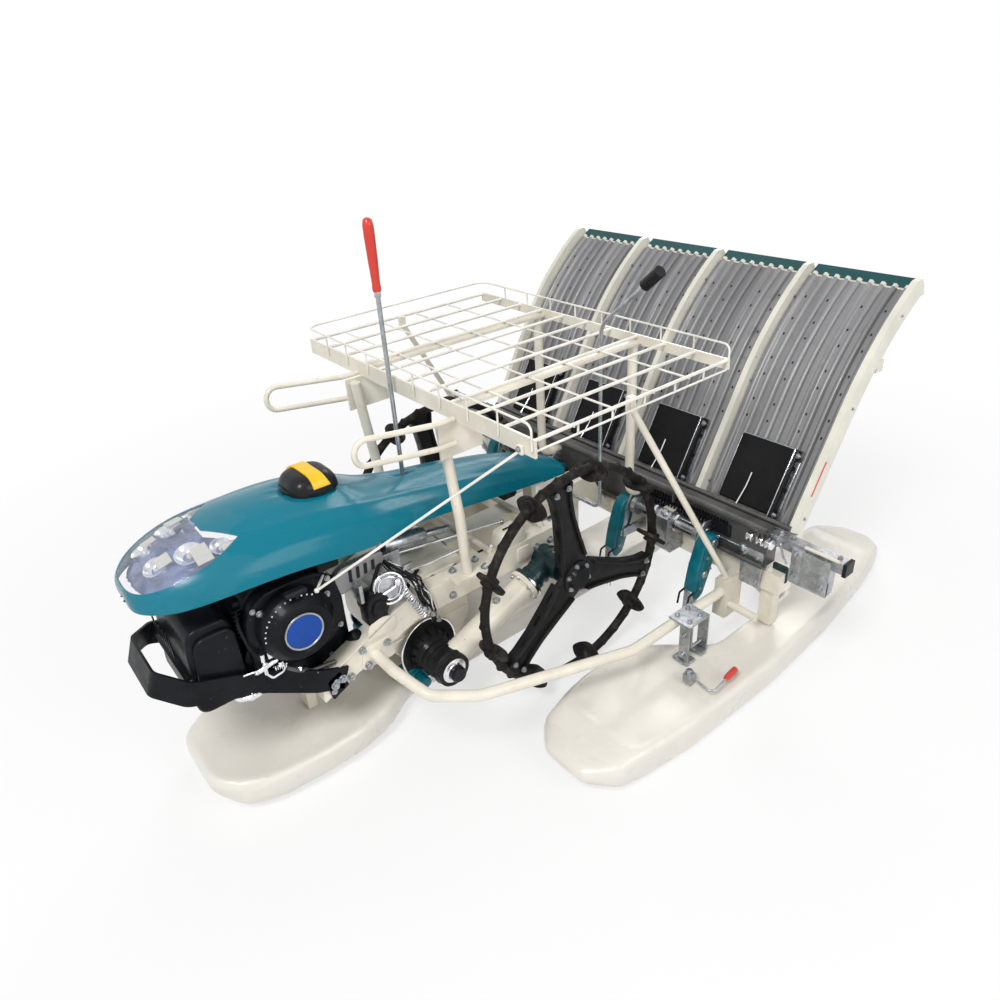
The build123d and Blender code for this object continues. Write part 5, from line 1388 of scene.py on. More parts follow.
class TRANSPLANTER_OT_gearbox(bpy.types.Operator):
    """Adds the gearbox's case, ribbed drums, valves, pulley and cables"""
    bl_idname = "transplanter.gearbox"
    bl_label = "Gearbox"

    def execute(self, context):
        half = 0.118
        outline = ((-0.47, 0.225), (-0.405, 0.128), (-0.27, 0.128), (-0.212, 0.205), (-0.212, 0.395),
            (-0.41, 0.397), (-0.468, 0.33))
        case = plate(rounded(outline, 0.025, 5), "X", (-half + 0.01, half - 0.01), 0.008, 3)
        seam = plate(rounded(outline, 0.022, 5), "X", (-0.004, 0.004), 0.001)
        ribs = [plate(((-0.455, 0.235 + 0.03 * k), (-0.225, 0.235 + 0.03 * k), (-0.225, 0.241 + 0.03 * k),
                    (-0.455, 0.241 + 0.03 * k)), "X", (-half + 0.003, half - 0.003), 0.001) for k in range(5)]
        cover = plate(rounded(((-0.45, 0.3), (-0.45, 0.37), (-0.40, 0.385), (-0.24, 0.385), (-0.24, 0.3),
                    (-0.33, 0.27)), 0.02), "X", (-half + 0.002, half - 0.002), 0.004, 3)
        dress([case, seam, *ribs, cover], "cream_paint")
        heads = bolts([(at(half - 0.002, y, z), LEFT) for y, z in ((-0.44, 0.36), (-0.4, 0.375),
                    (-0.32, 0.375), (-0.25, 0.375), (-0.25, 0.31), (-0.33, 0.285), (-0.43, 0.31))])
        in_zinc(heads)
        piece("gearbox_case", [case, seam, *ribs, cover] + both_sides(heads), "cream_paint",
              replaces=("transmission_case",))
        add_drums(half)
        add_leg_fittings()
        add_pulley_and_cables()
        add_hydraulics()
        return {"FINISHED"}


# ---- planting section and seedling tray
TRAY_SLOPE, TRAY_STRAIGHT, TRAY_ARC_R, TRAY_END = radians(60), 0.325, 0.8, 0.688
TRAY_SHIFT = 0.031            # how far left of the middle the tray stands
TRAY_HALF, LANE_PITCH = 0.6, 0.3     # half the tray's width, and from lane to lane
LANE_CENTRES = tuple(TRAY_SHIFT - TRAY_HALF + (k + 0.5) * LANE_PITCH for k in range(4))
BELT_END, BELT_CLEATS = 0.196, 20    # where a tray belt turns, and its cleats on each run
LANE_HALF = 0.142


def tray_yz(run, height):
    """A (y, z) spot on the tray, y from the axle: run up from its foot, height square to its face."""
    angle = TRAY_SLOPE - max(run - TRAY_STRAIGHT, 0) / TRAY_ARC_R
    y = 0.477 + min(run, TRAY_STRAIGHT) * cos(TRAY_SLOPE)
    z = 0.39 + min(run, TRAY_STRAIGHT) * sin(TRAY_SLOPE)
    if run > TRAY_STRAIGHT:
        y += TRAY_ARC_R * (sin(TRAY_SLOPE) - sin(angle))
        z += TRAY_ARC_R * (cos(angle) - cos(TRAY_SLOPE))
    return y - height * sin(angle), z + height * cos(angle)


def tray_spot(x, run, height):
    """A point over the tray."""
    return at(x, *tray_yz(run, height))


def tray_strip(x_span, runs, heights, edge=0.0, steps=1):
    """A strip laid along the tray between two runs."""
    path = [runs[0] + (runs[1] - runs[0]) * k / steps for k in range(steps + 1)]
    outline = [tray_yz(run, heights[0]) for run in path] + [tray_yz(run,
            heights[1]) for run in reversed(path)]
    return plate(outline, "X", x_span, edge)


def planting_arm(row, pin_side):
    """One arm: a rounded teal body with a bolted cover, its link, claws and pusher."""
    body = plate(rounded(((0.386, 0.349), (0.35, 0.363), (0.32, 0.338), (0.296, 0.27), (0.283, 0.2),
                (0.296, 0.168), (0.326, 0.176), (0.346, 0.225), (0.372, 0.298)), 0.02), "X",
        (row - 0.018, row + 0.018), 0.005, 3)
    cover = plate(rounded(((0.374, 0.342), (0.351, 0.352), (0.328, 0.332), (0.307, 0.266), (0.297, 0.205),
                (0.316, 0.19), (0.337, 0.23), (0.36, 0.295)), 0.014), "X", (row - 0.021, row + 0.021), 0.002)
    claw = plate(rounded(((0.283, 0.205), (0.279, 0.128), (0.302, 0.128), (0.322, 0.2)), 0.006), "X",
                 (row - 0.013, row + 0.013), 0.002)
    tines = [bar(at(row + x, 0.291, 0.14), at(row + x * 0.7, 0.287, 0.062), 0.0026, 0.0016, sides=10)
             for x in (-0.009, 0.009)]
    pusher = block(at(row - 0.006, 0.284, 0.085), at(row + 0.006, 0.289, 0.13), 0.001)
    link = plate(rounded(((0.4, 0.374), (0.36, 0.382), (0.333, 0.335), (0.314, 0.25), (0.327, 0.242),
                (0.35, 0.318), (0.372, 0.35), (0.404, 0.345)), 0.012), "X", (row + pin_side * 0.022 - 0.003,
            row + pin_side * 0.022 + 0.003), 0.001)
    bosses = [turned([(0.0, -0.025), (r - 0.002, -0.025), (r, -0.023), (r, 0.023), (r - 0.002, 0.025),
                (0.0, 0.025)], at(row, y, z), LEFT, sides=28) for y, z, r in ((0.356, 0.335, 0.014),
            (0.322, 0.25, 0.011))]
    pin = bar(at(row, 0.356, 0.335), at(row + pin_side * 0.03, 0.356, 0.335), 0.009, sides=20)
    hooks = [rod([at(row + x, 0.31, 0.205), at(row + x, 0.268, 0.198), at(row + x, 0.262, 0.165)], 0.0028,
            0.01) for x in (-0.016, 0.016)]
    heads = bolts([(at(row + 0.021 * s, y, z), (s, 0, 0)) for s in (-1, 1)
                   for y, z in ((0.346, 0.343), (0.33, 0.3), (0.345, 0.26), (0.308, 0.21))], 0.0034)
    dress([body, cover], "teal_paint")
    in_zinc([claw, *tines, pusher, link, *bosses, pin, *heads])
    dress(hooks, "black_paint")
    return [body, cover, claw, *tines, pusher, link, *bosses, pin, *hooks, *heads]


def add_case_fittings():
    """Bolts, a blank plate and grease caps on each planting case and the beam."""
    spots = [(at(x, y, z), (way, 0, 0)) for x, way in ((0.32, 1), (0.28, -1)) for y, z in ((0.352, 0.262),
            (0.352, 0.352), (0.388, 0.352), (0.388, 0.3), (0.41, 0.245), (0.375, 0.24))]
    spots += [(at(x, 0.42, z), FRONT) for x in (0.2, 0.4, 0.56) for z in (0.235, 0.265)]
    heads = in_zinc(bolts(spots, 0.0045))
    label = block(at(0.283, 0.367, 0.365), at(0.317, 0.396, 0.3665), 0.0004)
    cap = turned([(0.0, 0.0), (0.011, 0.0), (0.012, 0.004), (0.008, 0.01), (0.0, 0.011)],
        at(0.3, 0.355, 0.358), (0, -0.3, 1), sides=20)
    dress(label, "white_plastic")
    in_zinc(cap)
    ribs = [plate(rounded(((0.35, 0.29), (0.41, 0.252), (0.41, 0.246), (0.35, 0.284)), 0.002), "X",
                  (0.279 - 0.002, 0.321 + 0.002), 0.001)]
    in_zinc(ribs)
    seats = [turned([(0.0, -0.004), (0.03, -0.004), (0.031, 0.0), (0.03, 0.004), (0.0, 0.004)],
            at(x, 0.375, 0.335), LEFT, sides=36) for x in (0.262, 0.338)]
    dress(seats, bright_finish())
    piece("planting_case_fittings", both_sides([label, cap, *ribs, *seats, *heads]), "zinc_steel")


def add_rail():
    """The rail's round bar, toothed rack, lips, spools, brackets and end fittings."""
    tube = bar(at(-0.598, 0.394, 0.414), at(0.598, 0.394, 0.414), 0.0095)
    brackets = [plate(rounded(((0.384, 0.38), (0.384, 0.424), (0.404, 0.424), (0.408, 0.38)), 0.006), "X",
                      (x - 0.003, x + 0.003), 0.001) for x in (-0.59, -0.3, 0.0, 0.3, 0.59)]
    lips = [block(at(-0.6, 0.386, 0.3), at(0.6, 0.406, 0.3035), 0.001), block(at(-0.6, 0.4015, 0.396),
            at(0.6, 0.406, 0.4), 0.001), block(at(-0.6, 0.386, 0.3), at(0.6, 0.389, 0.312), 0.001)]
    dress([tube, *brackets, *lips], "rail_paint")
    teeth = []
    for k in range(36):
        x = 0.12 + 0.01 * k
        teeth += [(x, 0.378), (x + 0.003, 0.39), (x + 0.006, 0.39), (x + 0.009, 0.378)]
    rack = block(at(0.115, 0.3935, 0.345), at(0.49, 0.404, 0.379), 0.001)
    comb = plate([(0.118, 0.352), *teeth, (0.485, 0.352)], "Y", (0.3925, 0.4))
    screw = coil(at(0.15, 0.388, 0.366), at(0.44, 0.388, 0.366), 0.007, 0.003, 28)
    in_plastic([rack, comb, screw])
    slot_rod = bar(at(0.3, 0.398, 0.333), at(0.55, 0.398, 0.333), 0.003, sides=12)
    stops = [block(at(x - 0.008, 0.394, 0.322), at(x + 0.008, 0.406, 0.344), 0.002) for x in (0.33, 0.53)]
    spools = []
    for x in (0.555, 0.585, 0.61):
        spools.append(turned([(0.0, -0.009), (0.013, -0.009), (0.014, -0.006), (0.008, -0.003),
                    (0.008, 0.003), (0.014, 0.006), (0.013, 0.009), (0.0, 0.009)], at(x, 0.392, 0.382), LEFT,
                sides=28))
    dress([slot_rod, *stops, *spools], bright_finish())
    spots = [(at(x + dx, 0.4045, 0.37), FRONT) for x in (-0.56, -0.23, 0.23, 0.56) for dx in (-0.014, 0.014)]
    plates = [plate(rounded(((x - 0.03, 0.225), (x - 0.035, 0.34), (x + 0.035, 0.34), (x + 0.03, 0.225)),
                0.008), "Y", (0.398, 0.406), 0.0015) for x in (-0.56, -0.23, 0.23, 0.56)]
    in_zinc(plates)
    spots += [(at(x + dx, 0.398, z), FRONT) for x in (-0.56, -0.23, 0.23, 0.56) for dx in (-0.02, 0.02)
              for z in (0.24, 0.32)]
    heads = in_zinc(bolts(spots, 0.005))
    piece("rail_fittings", [tube, *brackets, *lips, rack, comb, screw, slot_rod, *stops, *spools, *plates,
            *heads], "rail_paint")
    add_rail_ends()


def add_rail_ends():
    """Edges, holes and bolts of the boxes at the rail's ends, and their cream pins."""
    frames = [plate(rounded(((0.672, 0.302), (0.672, 0.398), (0.7, 0.4), (0.7, 0.302)), 0.003), "Y",
            (0.394, 0.402), 0.001), block(at(0.672, 0.394, 0.298), at(0.775, 0.402, 0.304), 0.001),
        plate(rounded(((0.745, 0.302), (0.775, 0.302), (0.775, 0.345), (0.76, 0.36), (0.745, 0.35)), 0.003),
            "Y", (0.394, 0.402), 0.001)]
    spots = [(at(x, 0.394, z), FRONT) for x, z in ((0.683, 0.385), (0.683, 0.32), (0.76, 0.32))]
    spots += [(at(0.62, 0.427, 0.4055), UP), (at(0.655, 0.427, 0.4055), UP), (at(0.78, 0.427, 0.4055), UP)]
    heads = bolts(spots, 0.0055)
    hook = rod([at(0.64, 0.41, 0.39), at(0.64, 0.39, 0.4), at(0.655, 0.386, 0.37), at(0.665, 0.39, 0.35)],
        0.003, 0.012)
    in_zinc([*frames, *heads, hook])
    pin = bar(at(0.7, 0.405, 0.409), at(0.79, 0.405, 0.409), 0.0045, sides=14)
    dress(pin, "cream_paint")
    pad = plate(rounded(((0.6, 0.24), (0.6, 0.3), (0.645, 0.3), (0.645, 0.25)), 0.006), "Y", (0.44, 0.446),
        0.001)
    dress(pad, "dark_green_paint")
    piece("rail_end_fittings", both_sides([*frames, *heads, hook, pin, pad]), "zinc_steel")


class TRANSPLANTER_OT_planting(bpy.types.Operator):
    """Adds the planting arms, their links and tines, and the rail's fittings"""
    bl_idname = "transplanter.planting"
    bl_label = "Planting section"

    def execute(self, context):
        parts = []
        for row, pin_side in ((0.15, 1), (0.45, -1)):
            parts += planting_arm(row, pin_side)
        piece("planting_fingers", both_sides(parts), "teal_paint", replaces=("planting_arms",))
        add_case_fittings()
        add_rail()
        return {"FINISHED"}


def add_panels():
    """Each lane's pressed sheet: nine round-shouldered ribs that fade at the foot, and a curled top edge, coloured
    pale as a painted highlight.
    """
    pitch = (2 * LANE_HALF - 0.028) / 8

    def rise(x):
        across = abs((x / pitch + 0.5) % 1 - 0.5) * pitch
        return 0.0088 * min(1.0, max(0.0, (0.0078 - across) / 0.0042)) ** 0.6

    def sheet(centre, start, end, rows, lift):
        def place(u, v):
            x = (u - 0.5) * 2 * LANE_HALF
            run = start + (end - start) * v
            fade = min(1.0, max(0.0, (run - 0.004) / 0.05))
            return tray_spot(centre + x, run, lift + rise(x) * fade)
        return skin(144, rows, place, merge=False)

    parts = []
    for centre in LANE_CENTRES:
        panel = sheet(centre, 0.0, TRAY_END, 34, 0.0)
        tidy_mesh(panel)
        modify(panel, "SOLIDIFY", thickness=0.0025, offset=-1)
        # The curled top edge gets the pale panel plastic: a painted highlight for the light the rolled edge catches.
        curl = sheet(centre, TRAY_END - 0.01, TRAY_END, 1, 0.0009)
        modify(curl, "SOLIDIFY", thickness=0.004, offset=-1)
        dress(panel, "tray_steel")
        dress(curl, "white_plastic")
        parts += [panel, curl]
    slot = block((-0.0022, -0.0035, 0), (0.0022, 0.0035, 0.0004))
    for k, centre in enumerate(LANE_CENTRES):
        for gap in (0.5, 2.5, 5.5, 7.5):
            for row in range(7):
                run = 0.235 + 0.06 * row + 0.012 * ((k + row) % 2)
                spot = tray_spot(centre + (gap - 4) * pitch, run, 0.0002)
                lean = tray_spot(0, run + 0.01, 0) - tray_spot(0, run, 0)
                twin = copy_of(slot)
                twin.data.transform(Matrix.Translation(spot) @ Matrix.Rotation(atan2(lean.z, lean.y), 4, "X"))
                parts.append(in_plastic(twin))
    bpy.data.objects.remove(slot)
    piece("tray_sheets", parts, "tray_steel", "tray", ("tray_panels",), smooth=50)


def add_belts():
    """The black seedling belts with their cross cleats, edges and rollers."""
    parts = []
    for centre in LANE_CENTRES:
        x0, x1 = centre - 0.091, centre + 0.067
        parts.append(in_rubber(tray_strip((x0, x1), (0.02, BELT_END), (0.0093, 0.0118))))
        parts += [in_rubber(tray_strip((x0 + 0.003, x1 - 0.003), (0.024 + 0.0086 * k, 0.0275 + 0.0086 * k),
                    (0.0115, 0.0128))) for k in range(BELT_CLEATS)]
        parts += [in_plastic(tray_strip((x - 0.002, x + 0.002), (0.02, BELT_END), (0.0093, 0.0138)))
                  for x in (x0, x1)]
        for run in (0.02, BELT_END):
            parts.append(in_rubber(bar(tray_spot(x0, run, 0.0065), tray_spot(x1, run, 0.0065), 0.0062,
                        sides=20)))
        parts.append(in_zinc(tray_strip((x0 - 0.004, x0 - 0.001), (0.02, 0.19), (0.0, 0.0145), 0.0005)))
        parts.append(in_zinc(tray_strip((x0 - 0.002, x1 + 0.002), (0.199, 0.2015), (0.0, 0.0125), 0.0005)))
    piece("belt_faces", parts, "black_rubber", "tray", ("feed_belts",))


def add_guides():
    """The dark holding bar, each lane's seedling rod and the narrow guide with its rollers."""
    parts = [dress(bar(tray_spot(-0.569, 4e-3, 0.0373), tray_spot(0.631, 4e-3, 0.0373), 0.0078),
            "rail_paint")]
    for centre in LANE_CENTRES:
        x = centre - 0.02
        parts.append(dress(rod([tray_spot(x, 0.004, 0.0373), tray_spot(x, 0.066, 0.021),
                    tray_spot(x, 0.104, 0.02)], 0.0024, 0.03), bright_finish()))
        x = centre + 0.078
        parts.append(in_plastic(tray_strip((x - 0.0045, x + 0.0045), (0.006, 0.2), (0.0, 0.029), 0.001)))
        parts.append(dress(tray_strip((x - 0.0055, x - 0.003), (0.006, 0.2), (0.026, 0.0325), 0.0005),
                bright_finish()))
        parts.append(in_zinc(tray_strip((x + 0.0045, x + 0.012), (0.03, 0.17), (0.0, 0.006), 0.0005)))
        for run in (0.03, 0.09, 0.15):
            parts.append(in_rubber(bar(tray_spot(x - 0.008, run, 0.018), tray_spot(x + 0.008, run, 0.018),
                        0.006, sides=16)))
        head = tray_spot(x + 0.005, 0.185, 0.024)
        parts += in_zinc(bolts([(head, LEFT), (tray_spot(x + 0.005, 0.02, 0.02), LEFT)], 0.006))
    piece("seedling_guides", parts, "zinc_steel", "tray", ("seedling_rods",))


def add_trim():
    """The near rim's plain red stripe, the rims' screws and the stiffeners behind the sheets."""
    parts = []
    for k in range(5):
        x = TRAY_SHIFT - TRAY_HALF + LANE_PITCH * k
        spots = [(tray_spot(x + way * 0.008, run, 0.004), (way, 0, 0)) for way in (-1, 1) for run in (0.04,
                0.34, 0.6) if not (k == 0 and way == 1) and not (k == 4 and way == -1)]
        parts += in_zinc(bolts(spots, 0.0032))
    parts.append(dress(tray_strip((0.6385, 0.6397), (0.1, 0.195), (0.017, 0.0235)), "red_plastic"))
    for run in (0.12, 0.3, 0.62):
        y, z = tray_yz(run, -0.006)
        parts.append(in_zinc(bar(at(-0.569, y, z), at(0.631, y, z), 0.004, sides=12)))
    for x in (-0.27, 0.03, 0.33):
        parts.append(dress(tray_strip((x - 0.012, x + 0.012), (0.02, TRAY_END - 0.02), (-0.026, -0.022),
                    0.001, 12), "tray_rim_paint"))
    piece("tray_trim", parts, "zinc_steel", "tray")


class TRANSPLANTER_OT_tray(bpy.types.Operator):
    """Adds the corrugated panels, their slots, the ribbed belts and guides, and the rims' trim"""
    bl_idname = "transplanter.tray"
    bl_label = "Seedling tray"

    def execute(self, context):
        add_panels()
        add_belts()
        add_guides()
        add_trim()
        return {"FINISHED"}


# ---- floats
DECK_SINK = 0.007             # how far the deck lies below its rim
FLOAT_GRAIN, FLOAT_ROUNDING = 0.0075, 42    # size of a rebuilt face, and rounds of smoothing


def add_float(name, rim):
    """One float: its deck sunk inside a rim, its corners rounded, and film over its edges."""
    node = f"{name}_float"
    hull = cad_copy(node)
    choose_faces(hull, lambda face: face.normal.z > 0.99 and face.center.z > DECK_Z - 0.003)
    with editing(hull):
        bpy.ops.mesh.inset(thickness=rim, depth=0)
        bpy.ops.transform.translate(value=(0, 0, -DECK_SINK))
    modify(hull, "REMESH", mode="VOXEL", voxel_size=FLOAT_GRAIN)
    modify(hull, "SMOOTH", factor=0.5, iterations=FLOAT_ROUNDING)
    film = copy_of(hull)
    crumple(hull, 0.0015, 0.2)
    for vertex in hull.data.vertices:
        vertex.co.z = max(vertex.co.z, 0)
    piece(f"{name}_float_shell", hull, "float_shell", replaces=(node,), smooth=60)
    keep_part(film, lambda p: 0.012 < p.z < DECK_Z - 0.014 + 0.006 * sin(p.y * 31) * sin(p.x * 47))
    crumple(film, 0.004, 0.05, 0.0)
    modify(film, "SOLIDIFY", thickness=FILM_THICKNESS, offset=1)
    piece(f"{name}_float_film", dress(film, film_finish("float_film_finish", 0.02, 0.3)),
          "float_shell", smooth=70)


def add_hanger_bolts():
    spots = []
    base, top = low("float_hangers"), high("float_hangers")
    for _, side in SIDES:
        outer = side * top.x
        plate_z = top.z
        for y in (base.y + 0.02, top.y - 0.02):
            spots.append(((outer - side * 0.016, y, plate_z), UP))
            spots.append(((outer - side * 0.055, y, plate_z), UP))
        for y, way in ((base.y, -1), (top.y, 1)):
            spots.append(((outer - side * 0.015, y, DECK_Z + 0.022), (0, way, 0)))
            spots.append(((outer - side * 0.015, y, DECK_Z + 0.085), (0, way, 0)))
    heads = bolts(spots, sizes().small_bolt_radius * 1.2)
    feet = []
    for y in (base.y, top.y):
        inward = 0.03 if y == base.y else -0.03
        feet.append(block((top.x - 0.045, y - 0.006, DECK_Z - 0.004), (top.x + 0.004, y + inward,
                    DECK_Z + 0.004), 0.002))
    braces = [rod([(top.x - 0.004, base.y + 0.004, DECK_Z + 0.01), (top.x - 0.004, base.y + 0.002,
                top.z - 0.01)], 0.004, sides=2), rod([(top.x - 0.015, base.y + 0.03, top.z - 0.006),
                (top.x - 0.015, base.y + 0.03, DECK_Z + 0.03), (top.x - 0.015, top.y - 0.01, DECK_Z + 0.03)],
            0.004, 0.01)]
    in_zinc(heads)
    piece("hanger_bolts", heads + both_sides(in_zinc(feet + braces)), "zinc_steel")


def add_marker_tips():
    tip = turned([(0.0, 0.0), (0.006, 0.002), (0.008, 0.012), (0.0095, 0.036), (0.008, 0.05), (0.0, 0.054)],
                 at(0.6795, 0.151, 0.12), (-0.1, 1, 0), sides=20)
    base = [bar(at(0.606, 0.104, 0.126), at(0.606, 0.104, 0.132), 0.009, sides=6, edge=0.001),
            coil(at(0.606, 0.104, 0.104), at(0.606, 0.104, 0.124), 0.012, 0.0016, 4)]
    in_zinc(base)
    piece("marker_tips", both_sides([*dress([tip], "red_plastic"), *base]), "red_plastic")


class TRANSPLANTER_OT_floats(bpy.types.Operator):
    """Adds the moulded floats, their wrapping film, hangers' bolts and marker tips"""
    bl_idname = "transplanter.floats"
    bl_label = "Floats"

    def execute(self, context):
        for name, rim in (("center", 0.03), ("left", 0.038), ("right", 0.038)):
            add_float(name, rim)
        add_hanger_bolts()
        add_marker_tips()
        return {"FINISHED"}


# ---- handlebars
def add_grips():
    base, top = low("hand_grips"), high("hand_grips")
    radius = (top.z - base.z) / 2
    length = top.y - base.y
    heart = Vector((top.x - radius, base.y, (top.z + base.z) / 2))
    profile = [(0.0, 0.0), (radius, 0.0), (radius, 0.004), (radius * 0.8, 0.006)]
    ribs = 11
    for k in range(ribs):
        along = 0.01 + (length - 0.022) * k / ribs
        step = (length - 0.022) / ribs
        profile += [(radius * 0.8, along), (radius * 0.9, along + step * 0.25),
            (radius * 0.9, along + step * 0.65), (radius * 0.8, along + step * 0.9)]
    profile += [(radius * 0.86, length - 0.01), (radius * 0.94, length - 0.006),
        (radius * 0.8, length - 0.0005), (0.0, length)]
    grip = turned(profile, heart, BACK, sides=40)
    piece("ribbed_grips", both_sides([grip]), "black_rubber", replaces=("hand_grips",), smooth=40)
    clamp = turned([(0.016, 0.0), (0.02, 0.002), (0.02, 0.018), (0.016, 0.02)], heart - Vector((0, 0.045, 0)),
                   BACK, sides=24)
    perch = block(heart + Vector((-0.012, -0.04, -0.045)), heart + Vector((0.0, -0.024, -0.012)), 0.003)
    lever = rod([heart + Vector((-0.006, -0.032, -0.036)), heart + Vector((-0.008, 0.0, -0.052)),
                 heart + Vector((-0.004, 0.07, -0.044)), heart + Vector((0.0, 0.088, -0.05))], 0.0045, 0.03)
    cable = rod([heart + Vector((-0.006, -0.04, -0.036)), heart + Vector((-0.01, -0.12, -0.045)),
                 heart + Vector((-0.025, -0.24, -0.12)), heart + Vector((-0.06, -0.28, -0.14))], 0.003, 0.05)
    dress([clamp, perch], "black_paint")
    in_rubber(cable)
    dress(lever, bright_finish())
    piece("clutch_levers", both_sides([clamp, perch, lever, cable]), "black_paint")


def add_panel():
    base, top = low("control_panel"), high("control_panel")
    face_y, wide = top.y, top.x
    shell = plate(rounded(((base.y - AXLE_Y, base.z), (top.y - AXLE_Y, base.z),
                (top.y - AXLE_Y, top.z - 0.012), (base.y - AXLE_Y + 0.02, top.z)), 0.014), "X", (-wide, wide),
        0.006, 3)
    frame_lip = block((-wide + 0.02, face_y - 0.002, base.z + 0.012), (wide - 0.02, face_y + 0.0015,
            top.z - 0.024), 0.001)
    dress(shell, "white_plastic")
    in_plastic(frame_lip)
    knobs = []
    for x in (-0.14, -0.07, 0.07, 0.14):
        knobs.append(turned([(0.0, 0.0), (0.015, 0.0), (0.015, 0.006), (0.011, 0.009), (0.01, 0.02),
                    (0.0, 0.022)], (x, face_y - 0.002, base.z + 0.035), BACK, sides=28))
    dial = turned([(0.0, 0.003), (0.02, 0.003), (0.023, 0.001), (0.023, 0.0)], (0.0, face_y, base.z + 0.035),
                  BACK, sides=36)
    slots = [block((x - 0.004, base.y + 0.016, top.z - 0.006), (x + 0.004, base.y + 0.05, top.z - 0.003),
            0.001) for x in (-0.1, 0.1)]
    sticks = [rod([(x, base.y + 0.03, top.z - 0.01), (x, base.y + 0.035, top.z + 0.04),
                (x, base.y + 0.055, top.z + 0.06)], 0.004) for x in (-0.1, 0.1)]
    balls = [ball((x, base.y + 0.06, top.z + 0.065), (0.012, 0.012, 0.012), 20) for x in (-0.1, 0.1)]
    in_plastic(knobs + slots + balls)
    in_zinc(dial)
    dress(sticks, bright_finish())
    screws = bolts([((x, face_y + 0.001, z), BACK) for x in (-wide + 0.03, wide - 0.03)
                    for z in (base.z + 0.02, top.z - 0.032)], 0.0035)
    in_zinc(screws)
    piece("panel_case", [shell, frame_lip, *knobs, dial, *slots, *sticks, *balls, *screws], "white_plastic",
          replaces=("control_panel",))


def add_lever_grips():
    base, top = low("shift_grip"), high("shift_grip")
    radius = (top.x - base.x) / 2
    length = top.z - base.z
    heart = Vector((middle("shift_grip").x, middle("shift_grip").y, base.z))
    profile = [(0.0, 0.0), (radius * 0.72, 0.0), (radius * 0.8, 0.004), (radius * 0.8, 0.012),
        (radius * 0.74, 0.016), (radius * 0.78, 0.03), (radius * 0.9, length * 0.45), (radius, length * 0.78),
        (radius * 0.98, length * 0.9), (radius * 0.8, length * 0.975), (radius * 0.4, length * 0.998),
        (0.0, length)]
    grip = turned(profile, heart, UP, sides=32)
    piece("shift_handle", grip, "red_plastic", replaces=("shift_grip",), smooth=50)
    boot = turned([(0.03, 0.0), (0.032, 0.004), (0.024, 0.008), (0.026, 0.012), (0.018, 0.016), (0.02, 0.02),
                   (0.012, 0.026), (0.007, 0.036)], (heart.x, heart.y, high("transmission_case").z + 0.01),
                  UP, sides=28)
    nut = bar((heart.x, heart.y, base.z - 0.012), (heart.x, heart.y, base.z), 0.009, sides=6, edge=0.001)
    in_rubber(boot)
    in_zinc(nut)
    piece("shift_boot", [boot, nut], "black_rubber", smooth=40)


class TRANSPLANTER_OT_controls(bpy.types.Operator):
    """Adds the ribbed hand grips, their levers and the control panel's knobs"""
    bl_idname = "transplanter.controls"
    bl_label = "Controls"

    def execute(self, context):
        add_grips()
        add_panel()
        add_lever_grips()
        return {"FINISHED"}


# ---- stage
EYE = Vector((1.4817, -1.3112, 1.4943))
EYE_AZIMUTH = radians(52.776)
EYE_ELEVATION = radians(29.886)
EYE_ROLL = radians(-3.922)
EYE_FOCAL = 27.39             # mm, on a 36 mm sensor
FLOOR_HALF = 30               # half the floor's side
LAMP_AIM = Vector((0, 0, 0.4))
# Each lamp: name, place, size in metres, power in watts.
LAMPS = (
    ("key_lamp", (1.6, -3.2, 4.4), 1.6, 150),
    ("side_lamp", (4.6, 0.6, 3.0), 2.6, 60),
    ("rear_lamp", (-2.6, 3.6, 3.6), 3.0, 95),
)


def seen_share(tree):
    """1 for rays that the camera, a gloss or a clear piece sees the background by, otherwise 0."""
    path = tree.nodes.new("ShaderNodeLightPath")
    total = path.outputs["Is Camera Ray"]
    for kind in ("Is Glossy Ray", "Is Transmission Ray"):
        step = tree.nodes.new("ShaderNodeMath")
        step.use_clamp = True
        tree.links.new(total, step.inputs[0])
        tree.links.new(path.outputs[kind], step.inputs[1])
        total = step.outputs[0]
    return total


